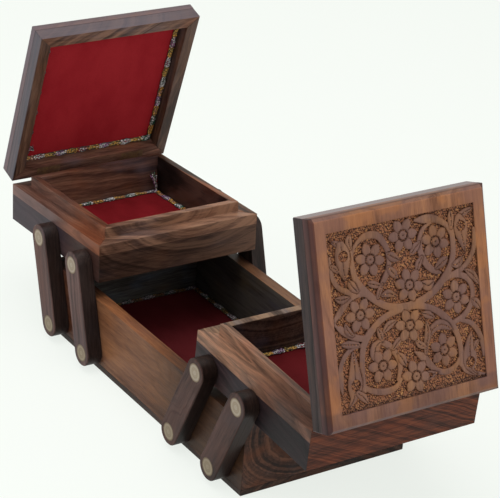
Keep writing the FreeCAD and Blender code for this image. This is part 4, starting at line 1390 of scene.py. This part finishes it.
def grid_rim(rows: int, columns: int) -> np.ndarray:
    """Indices of a grid's edge points, in one turn."""
    top = np.arange(columns)
    right = np.arange(1, rows) * columns + columns - 1
    bottom = (rows - 1) * columns + np.arange(columns - 2, -1, -1)
    left = np.arange(rows - 2, 0, -1) * columns
    return np.concatenate([top, right, bottom, left])


def smooth_line(knots: Sequence[Point], steps: int) -> list[Point]:
    """Points on a smooth curve through the knots.

    Args:
        knots: the points to pass, with half-widths.
        steps: points between two knots.

    Returns:
        The points, the ends included.
    """
    given = np.array(knots, float)
    padded = np.vstack([2 * given[0] - given[1], given, 2 * given[-1] - given[-2]])
    line = []
    for k in range(len(given) - 1):
        a, b, c, d = padded[k:k + 4]
        for step in range(steps):
            t = step / steps
            line.append(tuple(
                0.5 * (2 * b + (c - a) * t + (2 * a - 5 * b + 4 * c - d) * t * t
                       + (3 * b - a - 3 * c + d) * t ** 3)
            ))
    line.append(tuple(given[-1]))
    return [(x, y, max(w, 0.15)) for x, y, w in line]


# Linings.


@dataclass(frozen=True)
class Lining:
    """A velvet panel between four walls, with braid round its edge."""

    name: str
    body: str
    placing: Placing
    width: float
    near: float
    far: float
    surface: float
    upwards: bool = True
    gap: float = 0.15
    thickness: float = 3.6
    braid_width: float = 4.2

    def velvet_mesh(self) -> bpy.types.Mesh:
        """A thin pad with rolled edges and a faint unevenness."""
        across, down = 56, 56
        half = self.width / 2 - self.gap
        near, far = self.near + self.gap, self.far - self.gap
        random = np.random.default_rng(len(self.name))
        waves = random.uniform(0.6, 2.4, (4, 2)), random.uniform(0, math.tau, 4)
        u = 0.5 - 0.5 * np.cos(np.linspace(0, math.pi, across + 1))
        v = 0.5 - 0.5 * np.cos(np.linspace(0, math.pi, down + 1))
        grid_u, grid_v = np.meshgrid(u, v)
        x = (grid_u * 2 - 1) * half
        y = near + grid_v * (far - near)
        edge = np.minimum.reduce([x + half, half - x, y - near, far - y])
        roll = np.sqrt(np.clip(1 - (1 - np.clip(edge / 0.8, 0, 1)) ** 2, 0, 1))
        swell = sum(
            0.02 * np.sin(k[0] * grid_u * math.tau + k[1] * grid_v * math.tau + p)
            for k, p in zip(waves[0], waves[1])
        )
        z = self.thickness - 0.65 + 0.57 * roll + swell * np.clip(edge / 6, 0, 1)
        sign = 1 if self.upwards else -1
        top = np.stack([x, y, self.surface + sign * z], -1).reshape(-1, 3)
        bottom = np.stack([x, y, np.full_like(x, self.surface + sign * 0.03)], -1).reshape(-1, 3)
        return closed_pad(top, bottom, down + 1, across + 1, sign > 0, self.placing)

    def build(self, velvet: Velvet, recipe: Recipe, yarn: bpy.types.Material | None = None) -> None:
        """Make the velvet and its braid.

        Args:
            velvet: the cloth's finish.
            recipe: the braid's recipe.
            yarn: the braid's finish, if it isn't the recipe's own.
        """
        mesh = self.velvet_mesh()
        mesh.materials.append(velvet.material(f"{self.name}_velvet", self.placing))
        cloth = add_piece(f"{self.name}_velvet", mesh, self.body)
        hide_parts(f"{self.name}_velvet_lining")
        size = (self.width - 2 * self.gap, self.far - self.near - 2 * self.gap)
        size[0] * MM
        size[1] * MM
        self.rest()
        sign = 1 if self.upwards else -1
        level = self.surface + sign * (self.thickness + 0.38)
        middle = (self.near + self.far) / 2
        place = self.placing.inside(middle, level, 0.0 if self.upwards else 180.0)
        inset = self.braid_width
        braid = recipe.run(place, {"Width": size[0] - inset, "Length": size[1] - inset})
        if yarn:
            braid.materials.clear()
            braid.materials.append(yarn)
            braid.polygons.foreach_set("material_index", [0] * len(braid.polygons))
        trim = add_piece(f"{self.name}_plaited_braid", braid, self.body)
        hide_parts(f"{self.name}_braid")

    def rest(self) -> str:
        """The solid that the velvet lies on."""
        return f"{self.name}_board" if not self.upwards else f"{self.name}_bottom_board"


def closed_pad(
    top: np.ndarray, bottom: np.ndarray, rows: int, columns: int, upwards: bool, placing: Placing
) -> bpy.types.Mesh:
    """Close two sheets of points into a pad whose faces point outwards.

    Args:
        top: points of the show side, row by row.
        bottom: points of the hidden side, in the same order.
        rows: rows of points.
        columns: points in a row.
        upwards: whether the show side faces up in its frame.
        placing: the frame.

    Returns:
        The mesh, in metres.
    """
    index = np.arange(rows * columns).reshape(rows, columns)
    show = np.stack([index[:-1, :-1], index[:-1, 1:], index[1:, 1:], index[1:, :-1]], -1).reshape(-1, 4)
    hidden = show[:, ::-1] + len(top)
    rim = grid_rim(rows, columns)
    after = np.roll(rim, -1)
    sides = np.stack([rim, rim + len(top), after + len(top), after], -1)
    faces = np.vstack([show, hidden, sides])
    if not upwards:
        faces = faces[:, ::-1]
    mesh = bpy.data.meshes.new("pad")
    mesh.from_pydata(np.vstack([top, bottom]).tolist(), [], [tuple(f) for f in faces.tolist()])
    mesh.polygons.foreach_set("use_smooth", [True] * len(mesh.polygons))
    mesh.transform(placing.matrix())
    mesh.update()
    return mesh


# Sub-assemblies.


@dataclass
class Workshop:
    """What all sub-assemblies share: the solids, the linkage and the trims' recipes."""

    nodes: dict[str, bpy.types.Object]
    linkage: Linkage
    braid: Recipe
    fray: Recipe
    brass: bpy.types.Material

    def finish_wood(self, name: str, wood: Rosewood, placing: Placing, cut: Cut, eased: float = 0.35) -> None:
        """Give one solid its wood and its eased arrises.

        Args:
            name: the solid's name.
            wood: the finish.
            placing: the piece's frame.
            cut: how it was sawn.
            eased: rounding of its arrises, in millimetres.
        """
        node = self.nodes[name]
        dress(node, wood.material(f"{name}_wood", placing, cut))
        if eased:
            ease(node, eased)
        log.info("%s: rosewood", name)

    def finish_brass(self, *names: str) -> None:
        """Give the named solids their brass."""
        for name in names:
            dress(self.nodes[name], self.brass)

    def fray_at(
        self,
        name: str,
        body: str,
        place: Placing,
        x: float,
        lean: float,
        values: dict[str, float | int],
        flat: float = 1.0,
    ) -> None:
        """Let loose yarns spring from a braid's end.

        Args:
            name: the piece's name.
            body: the body that it rides on.
            place: frame at the braid's height, with z along the tuft.
            x: millimetres across.
            lean: degrees by which the tuft leans along x.
            values: the tuft's inputs.
            flat: how far it is pressed flat along its frame's y.
        """
        mesh = self.fray.run(Placing(), values)
        mesh.transform(Matrix.Diagonal((1.0, flat, 1.0, 1.0)))
        turn = Matrix.Rotation(math.radians(lean), 4, "Y")
        mesh.transform(place.matrix() @ Matrix.Translation((x, 0.0, 0.0)) @ turn @ Matrix.Scale(1 / MM, 4))
        add_piece(name, mesh, body)


@dataclass
class Base:
    """The long open base.

    The last three limit the patches to its inner faces and to below its rim.
    """

    shop: Workshop
    length: float = 204.0
    wall: float = 7.0
    board: float = 3.5
    inner_side: float = 44.1
    inner_end: float = 95.1
    under_rim: float = 40.8

    def woods(self) -> dict[str, tuple[Rosewood, Cut]]:
        """Each board's finish and cut."""
        # Painted shade: the left wall's inner face below the rim is made much darker and greyer, as the
        # shaded inside.
        hidden = Patch((0.2, 0.38, 0.6), high=(self.inner_side, OPEN, self.under_rim))
        # Painted shade: the end walls' inner faces below the rim are made grey, the colour of the shaded
        # inside.
        painted_end_shade = Patch(
            (1.3, 2.6, 3.6), low=(-OPEN, -self.inner_end, -OPEN), high=(OPEN, self.inner_end, self.under_rim)
        )
        # Painted light: the left wall above the rim line is made lighter, as a lit top.
        rim = Patch((1.3, 1.2, 1.1), low=(-OPEN, -OPEN, self.under_rim))
        # Darker towards the front end: partly painted shade beside the front arms, partly darker wood.
        near = Patch((0.3, 0.32, 0.36), high=(OPEN, -56.0, OPEN), soft=70.0)
        far = Patch(
            (0.42, 0.36, 0.42), low=(-OPEN, 62.0, -OPEN), high=(OPEN, OPEN, self.under_rim), soft=12.0
        )
        side = Rosewood(
            GOLDEN, ring=0.11, figure=0.5, wander=22.0, stain=(0.98, 0.84, 0.72),
            patches=(hidden, rim, near, far),
        )
        # Painted shade: the right wall's inner face below the rim is made darker and greyer, as the shaded
        # inside.
        shaded = Patch((0.32, 0.58, 1.05), high=(self.inner_side, OPEN, self.under_rim))
        dull = Patch((0.85, 0.85, 0.9), low=(-OPEN, -OPEN, self.under_rim))
        far_side = Rosewood(
            GOLDEN, ring=0.13, figure=0.5, wander=26.0, stain=(0.96, 0.9, 0.8), patches=(shaded, dull)
        )
        end = Rosewood(STRIPED, ring=0.26, figure=1.0, wander=5.0, patches=(painted_end_shade,))
        far_end = Rosewood(UMBER, ring=0.2, figure=0.2, patches=(painted_end_shade,))
        return {
            "left_wall": (side, Cut(Run.OUTWARDS, (-90.0, 0.0, 30.0), (0.03, 0.03), 1.0)),
            "right_wall": (far_side, Cut(Run.OUTWARDS, (90.0, 0.0, 10.0), (0.05, 0.05), 2.0)),
            "front_wall": (end, Cut(Run.OUTWARDS, (-14.0, 0.0, 32.0), (0.0, 0.0), 3.0, 1.2)),
            "rear_wall": (far_end, Cut(Run.ACROSS, (0.0, 12.0, 60.0), (0.0, 0.0), 4.0)),
            "bottom_board": (Rosewood(CHOCOLATE), Cut(Run.OUTWARDS, seed=5.0)),
        }

    def build(self) -> None:
        """Dress the base's wood and line it."""
        here = Placing()
        for part, (wood, cut) in self.woods().items():
            self.shop.finish_wood(f"base_{part}", wood, here, cut)
        # The base's velvet is a darker copy of the red velvet, painted shade under the trays; its braid takes
        # the dimmer copy of the yarns.
        Lining(
            "base", "base", here, WIDTH - 2 * self.wall, -self.length / 2 + self.wall,
            self.length / 2 - self.wall, self.board,
        ).build(Velvet((74, 18, 22), (88, 26, 30)), self.shop.braid, SHADED_BRAID.material("shaded_braid"))


@dataclass
class Tray:
    """A tray with its raised lip, its lining and its half of the hinges.

    The last three limit the patches: from the mouth outwards, and above or below the ledge.
    """

    shop: Workshop
    end: End
    wall: float = 12.0
    board: float = 3.0
    mouth_side: float = 39.1
    mouth_end: float = 11.9
    ledge: float = 15.9

    def woods(self) -> dict[str, tuple[Rosewood, Cut]]:
        """Each board's finish and cut."""
        if self.end is End.REAR:
            # Painted light: the lip above the ledge is made much lighter, as a top that the light falls on.
            painted_lip_light = Patch((3.9, 3.3, 2.3), low=(self.mouth_side, -OPEN, self.ledge))
            near = Patch((0.55, 0.36, 0.26), high=(OPEN, 14.0, self.ledge), soft=50.0)
            far = Patch(
                (0.5, 0.5, 0.6), low=(-OPEN, 55.0, -OPEN), high=(OPEN, OPEN, self.ledge), soft=30.0
            )
            # The left wall also takes a little painted sheen on its outer faces.
            side = Rosewood(
                PLUM, ring=0.2, wander=12.0, gloss=0.18, painted_sheen=0.25, stain=(0.62, 0.58, 0.6),
                patches=(painted_lip_light, near, far),
            )
            far_side = Rosewood(CHOCOLATE, stain=(0.65, 0.65, 0.7), patches=(painted_lip_light,))
            # Painted light: the inner wall's lip above the ledge is made lighter, as a lit top.
            rim = Patch((2.3, 2.3, 2.2), (-OPEN, -OPEN, self.ledge), (OPEN, self.mouth_end, OPEN))
            inner = Rosewood(UMBER, ring=0.24, figure=0.7, wander=4.0, tint=0.2, patches=(rim,))
            # The outer wall's stain lightens the whole wall: painted light on its inner face, which lies in
            # shade.
            outer = Rosewood(UMBER, ring=0.2, figure=0.6, wander=6.0, stain=(1.8, 1.6, 1.6))
            return {
                "left_wall": (side, Cut(Run.OUTWARDS, (-80.0, 0.0, 30.0), (0.1, 0.1), 20.0)),
                "right_wall": (far_side, Cut(Run.OUTWARDS, (80.0, 0.0, 30.0), (0.1, 0.1), 21.0)),
                "inner_wall": (
                    inner, Cut(Run.ACROSS, (13.0, 0.0, 29.0), (0.45, 0.0), 22.0, fade=(0.004, 0.0, 0.006))
                ),
                "outer_wall": (outer, Cut(Run.ACROSS, (0.0, 110.0, 60.0), (0.0, 0.05), 23.0)),
                "bottom_board": (Rosewood(CHOCOLATE), Cut(Run.OUTWARDS, seed=24.0)),
            }
        # Painted light: the lip above the ledge is made much lighter, as a top that the light falls on.
        painted_lip_light = Patch((7.6, 6.6, 3.9), low=(self.mouth_side, -OPEN, self.ledge))
        out = Patch(
            (0.36, 0.34, 0.38), low=(-OPEN, 78.0, -OPEN), high=(OPEN, OPEN, self.ledge), soft=60.0
        )
        # Painted light: the inner wall's lip above the ledge is made lighter, as a lit top.
        rim = Patch((2.0, 1.8, 1.5), (-OPEN, -OPEN, self.ledge), (OPEN, self.mouth_end, OPEN))
        side = Rosewood(
            SLATE, ring=0.24, figure=0.7, wander=10.0, stain=(0.68, 0.5, 0.55), patches=(painted_lip_light, out)
        )
        inner = Rosewood(UMBER, stain=(1.0, 1.3, 1.5), patches=(rim,))
        outer = Rosewood(STRIPED, ring=0.34, figure=0.85, wander=3.0, stain=(1.12, 0.7, 0.54))
        return {
            "left_wall": (side, Cut(Run.OUTWARDS, (80.0, 0.0, 40.0), (0.15, 0.1), 10.0)),
            "right_wall": (side, Cut(Run.OUTWARDS, (-80.0, 0.0, 30.0), (0.1, 0.1), 11.0)),
            "inner_wall": (inner, Cut(Run.OUTWARDS, (8.0, 0.0, 40.0), (0.0, 0.0), 12.0, 2.0)),
            "outer_wall": (outer, Cut(Run.ACROSS, (0.0, 101.0, -200.0), (0.0, -0.45), 13.0)),
            "bottom_board": (Rosewood(CHOCOLATE), Cut(Run.OUTWARDS, seed=14.0)),
        }

    def build(self) -> None:
        """Dress the tray's wood and hinge leaves, and line it."""
        name = f"{self.end.value}_tray"
        place = self.shop.linkage.tray(self.end)
        length = self.shop.linkage.tray_length
        for part, (wood, cut) in self.woods().items():
            self.shop.finish_wood(f"{name}_{part}", wood, place, cut)
        # The front tray's velvet is a darker copy of the red velvet: painted shade.
        velvet = Velvet() if self.end is End.REAR else Velvet((80, 12, 17), (95, 20, 25))
        if self.end is End.REAR:
            tuft = {"Yarns": 26, "Height": 13.0, "Splay": 0.14, "Curl": 1.5, "Thickness": 0.32, "Seed": 5}
            self.shop.fray_at(f"{name}_loose_yarn", name, place.inside(86.4, 7.2), 37.0, -12.0, tuft)
        Lining(
            name, name, place, WIDTH - 2 * self.wall, self.wall, length - self.wall, self.board,
        ).build(velvet, self.shop.braid)
        self.shop.finish_brass(
            f"{name}_hinge_leaves", f"{name}_hinge_screws", f"{self.end.value}_hinge_pins"
        )


@dataclass
class Lid:
    """A lid: carved board, four rails, lining and its half of the hinges."""

    shop: Workshop
    end: End
    rail: float = 7.0
    depth: float = 8.0

    def woods(self) -> dict[str, tuple[Rosewood, Cut]]:
        """Each rail's finish and cut."""
        if self.end is End.REAR:
            # Painted light: the inner rail's face on the lid's underside is made twice as light.
            face = Patch((2.0, 2.0, 2.0), high=(OPEN, OPEN, 0.1))
            # Painted sheen on the rails' outer faces: a grey on the side rails, a mauve-grey on the others.
            upright = Rosewood(
                UMBER, ring=0.3, wander=8.0, gloss=0.25, painted_sheen=0.85, painted_sheen_colour=(82, 78, 88),
                stain=(1.25, 1.25, 1.2),
            )
            level = Rosewood(UMBER, ring=0.22, wander=6.0, gloss=0.25, painted_sheen=0.8, patches=(face,))
            # The outer rail's stain makes it more than twice as light: painted light on a face in shade.
            low = Rosewood(UMBER, ring=0.22, figure=0.7, wander=6.0, painted_sheen=0.8, stain=(2.6, 2.4, 2.5))
            return {
                "left_rail": (upright, Cut(Run.OUTWARDS, (-60.0, 0.0, 30.0), (0.05, 0.05), 40.0)),
                "right_rail": (upright, Cut(Run.OUTWARDS, (60.0, 0.0, 30.0), (0.05, 0.05), 41.0)),
                "inner_rail": (level, Cut(Run.ACROSS, (0.0, -60.0, 30.0), (0.6, 0.1), 42.0)),
                "outer_rail": (low, Cut(Run.ACROSS, (0.0, 160.0, 30.0), (0.1, 0.1), 43.0)),
            }
        upright = Rosewood(SLATE, ring=0.3, wander=6.0, stain=(0.72, 0.56, 0.56))
        # Painted sheen, a pale mauve-grey, on the outer faces of the inner and outer rails.
        level = Rosewood(TAN, ring=0.25, wander=6.0, gloss=0.4, painted_sheen=0.9, painted_sheen_colour=(128, 113, 117))
        return {
            "left_rail": (upright, Cut(Run.OUTWARDS, (60.0, 0.0, 30.0), (0.05, 0.05), 30.0)),
            "right_rail": (upright, Cut(Run.OUTWARDS, (-60.0, 0.0, 30.0), (0.05, 0.05), 31.0)),
            "inner_rail": (level, Cut(Run.ACROSS, (0.0, -20.0, 30.0), (0.05, 0.05), 32.0)),
            "outer_rail": (level, Cut(Run.ACROSS, (0.0, 120.0, 30.0), (0.05, 0.05), 33.0)),
        }

    def build(self) -> None:
        """Dress the rails and hinge leaves, carve the board and line it."""
        name = f"{self.end.value}_lid"
        place = self.shop.linkage.lid(self.end)
        for part, (wood, cut) in self.woods().items():
            self.shop.finish_wood(f"{name}_{part}", wood, place, cut)
        mesh = CarvedBoard().mesh(place)
        # Painted sheen on the board's outer faces: strong on the rear lid, faint on the front.
        painted_sheen = 0.9 if self.end is End.REAR else 0.1
        side = Patch((0.4, 0.32, 0.36), low=(49.0, -OPEN, -OPEN))
        foot = Patch((0.7, 0.75, 0.9), low=(-OPEN, 93.0, -OPEN), soft=2.0)
        patches = (side, foot) if self.end is End.FRONT else ()
        board = Rosewood(AMBER, ring=0.16, figure=0.6, wander=14.0, gloss=0.2, painted_sheen=painted_sheen, patches=patches)
        cut = Cut(Run.OUTWARDS, (10.0, 0.0, -50.0), (0.04, 0.08), 34.0)
        mesh.materials.append(CarvedRosewood(board).material(f"{name}_carved_wood", place, cut))
        carved = add_piece(f"{name}_carved_panel", mesh, name)
        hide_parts(f"{name}_board")
        # The lid's velvet is a lighter copy of the red velvet: painted light on its open face.
        Lining(
            name, name, place, WIDTH - 2 * self.rail, self.rail,
            self.shop.linkage.tray_length - self.rail, self.depth, upwards=False, thickness=1.0,
        ).build(Velvet((160, 30, 40), (174, 40, 48)), self.shop.braid)
        if self.end is End.REAR:
            tuft = {"Yarns": 12, "Height": 6.5, "Splay": 0.5, "Curl": 2.2, "Thickness": 0.2, "Seed": 8}
            corner = place.inside(87.0, 6.3, -90.0)
            self.shop.fray_at(f"{name}_loose_yarn", name, corner, -36.5, -40.0, tuft, 0.12)
        self.shop.finish_brass(f"{name}_hinge_leaves", f"{name}_hinge_screws")


@dataclass
class ArmLine:
    """A left and a right arm on one pivot line, with their four dowels."""

    shop: Workshop
    end: End
    outer: bool
    dowel_radius: float = 4.9

    def build(self) -> None:
        """Dress the arms and the dowels."""
        name = f"{self.end.value}_{'outer' if self.outer else 'inner'}"
        place = self.shop.linkage.arm(self.end, self.outer)
        seed = 50.0 + 7 * self.outer + (3 if self.end is End.FRONT else 0)
        # Painted shade: each arm, all but its outer face, is made much darker, as faces the light hardly
        # reaches.
        narrow = Patch((0.35, 0.4, 0.4), high=(59.7, OPEN, OPEN), soft=0.2)
        stain = (0.86, 0.74, 0.74) if self.end is End.REAR else (0.58, 0.44, 0.4)
        wood = Rosewood(PLUM, ring=0.3, figure=0.7, wander=7.0, stain=stain, patches=(narrow,))
        for hand, x in (("left", -70.0), ("right", 70.0)):
            cut = Cut(Run.UPWARDS, (x, 24.0, 0.0), (0.05, 0.1), seed)
            self.shop.finish_wood(f"{name}_{hand}_arm", wood, place, cut, 0.0)
            seed += 1
        dowels = PaleDowel().material(
            f"{name}_dowel_wood", place, (0.0, self.shop.linkage.arm_reach), self.dowel_radius
        )
        dress(self.shop.nodes[f"{name}_dowels"], dowels)
        log.info("%s arms and dowels dressed", name)


# Studio.


@dataclass(frozen=True)
class Studio:
    """Pale floor, soft lamps and the camera."""

    background: Colour = (247, 252, 246)
    lens: float = 146.493
    sensor: float = 36.0
    shift: tuple[float, float] = (0.02093, 0.00638)
    eye: tuple[float, float, float] = (-0.55283, -0.80569, 0.54979)
    right: tuple[float, float, float] = (0.83782482, -0.54124572, 0.07143278)
    down: tuple[float, float, float] = (-0.18131262, -0.3992762, -0.89872368)
    forward: tuple[float, float, float] = (0.51495176, 0.74002134, -0.43265819)

    def build(self) -> None:
        """Set up everything that isn't the box."""
        self._floor()
        self._world()
        self._lamp("top_lamp", (-0.1, 0.1, 1.3), (0.0, 0.0, 0.05), 1.2, 9.5, (1.0, 0.98, 0.97))
        self._lamp("left_lamp", (-1.3, 0.35, 0.6), (0.0, 0.0, 0.05), 1.0, 7.5, (0.93, 0.95, 1.0))
        self._lamp("front_lamp", (0.6, -1.3, 0.6), (0.0, 0.0, 0.08), 0.9, 4.0, (1.0, 0.95, 0.9))
        self._camera()
        bpy.context.scene.view_settings.view_transform = "Standard"

    def _seen(self, graph: Graph) -> Wire:
        """1 for camera, glossy and transmission rays."""
        path = graph.node("ShaderNodeLightPath", output="Is Camera Ray")
        outputs = path.socket.node.outputs
        glossy = Wire(graph, outputs["Is Glossy Ray"])
        through = Wire(graph, outputs["Is Transmission Ray"])
        return path.maths("MAXIMUM", glossy).maths("MAXIMUM", through)

    def _floor(self) -> None:
        """A wide pale floor that keeps the box's shadow."""
        mesh = bpy.data.meshes.new("floor")
        half = 6.0
        corners = [(-half, -half, 0), (half, -half, 0), (half, half, 0), (-half, half, 0)]
        mesh.from_pydata(corners, [], [(0, 1, 2, 3)])
        floor = bpy.data.objects.new("floor", mesh)
        bpy.context.scene.collection.objects.link(floor)
        material = bpy.data.materials.new("floor")
        material.use_nodes = True
        tree = material.node_tree
        tree.nodes.clear()
        graph = Graph(tree)
        plain = graph.node("ShaderNodeBsdfDiffuse", None, {"Color": (0.8, 0.81, 0.8, 1.0)})
        pale = graph.node("ShaderNodeBsdfDiffuse", None, {"Color": (0.2, 0.2, 0.2, 1.0)})
        lit = graph.node(
            "ShaderNodeEmission", None, {"Color": shade(*self.background), "Strength": 0.82}
        )
        bright = graph.node("ShaderNodeAddShader", None, {0: pale, 1: lit})
        mixed = graph.node("ShaderNodeMixShader", None, {0: self._seen(graph), 1: plain, 2: bright})
        out = tree.nodes.new("ShaderNodeOutputMaterial")
        tree.links.new(mixed.socket, out.inputs[0])
        mesh.materials.append(material)
        floor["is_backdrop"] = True

    def _world(self) -> None:
        """A white surround for what is seen, and a dim one for what it lights."""
        world = bpy.data.worlds.new("studio")
        bpy.context.scene.world = world
        world.use_nodes = True
        graph = Graph(world.node_tree)
        background = next(n for n in world.node_tree.nodes if n.type == "BACKGROUND")
        strength = self._seen(graph) * 0.6 + 0.4
        background.inputs["Color"].default_value = shade(*self.background)
        world.node_tree.links.new(strength.socket, background.inputs["Strength"])

    def _lamp(
        self,
        name: str,
        place: tuple[float, float, float],
        target: tuple[float, float, float],
        size: float,
        power: float,
        colour: tuple[float, float, float],
    ) -> None:
        """One soft square lamp.

        Args:
            name: the lamp's name.
            place: where it hangs, in metres.
            target: what it points at.
            size: its side.
            power: watts.
            colour: its linear colour.
        """
        data = bpy.data.lights.new(name, "AREA")
        data.size = size
        data.energy = power
        data.color = colour
        lamp = bpy.data.objects.new(name, data)
        bpy.context.scene.collection.objects.link(lamp)
        lamp.location = place
        aim = Vector(target) - Vector(place)
        lamp.rotation_euler = aim.to_track_quat("-Z", "Y").to_euler()

    def _camera(self) -> None:
        """The camera, fitted to the photograph's view."""
        data = bpy.data.cameras.new("camera")
        data.lens = self.lens
        data.sensor_width = self.sensor
        data.shift_x, data.shift_y = self.shift
        data.clip_start, data.clip_end = 0.05, 20.0
        camera = bpy.data.objects.new("camera", data)
        bpy.context.scene.collection.objects.link(camera)
        turn = Matrix((self.right, -Vector(self.down), -Vector(self.forward))).transposed()
        camera.matrix_world = Matrix.Translation(self.eye) @ turn.to_4x4()
        bpy.context.scene.camera = camera


def corners(box: tuple[Vector, Vector]) -> list[list[float]]:
    """A box's corners as plain lists."""
    return [list(corner) for corner in box]


def main() -> None:
    """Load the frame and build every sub-assembly."""
    logging.basicConfig(level=logging.INFO, format="%(message)s")
    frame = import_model()
    solids_box = corners(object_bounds())
    Studio().build()
    yarn = MetallicBraid().material("metallic_braid")
    shop = Workshop(
        frame["nodes"], Linkage(), braid_recipe(yarn), fray_recipe(yarn), Brass().material("brass")
    )
    Base(shop).build()
    for end in End:
        Tray(shop, end).build()
        Lid(shop, end).build()
        for outer in (False, True):
            ArmLine(shop, end, outer).build()
    {"cad": solids_box, "visual": corners(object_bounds())}


if __name__ == "__main__":
    main()
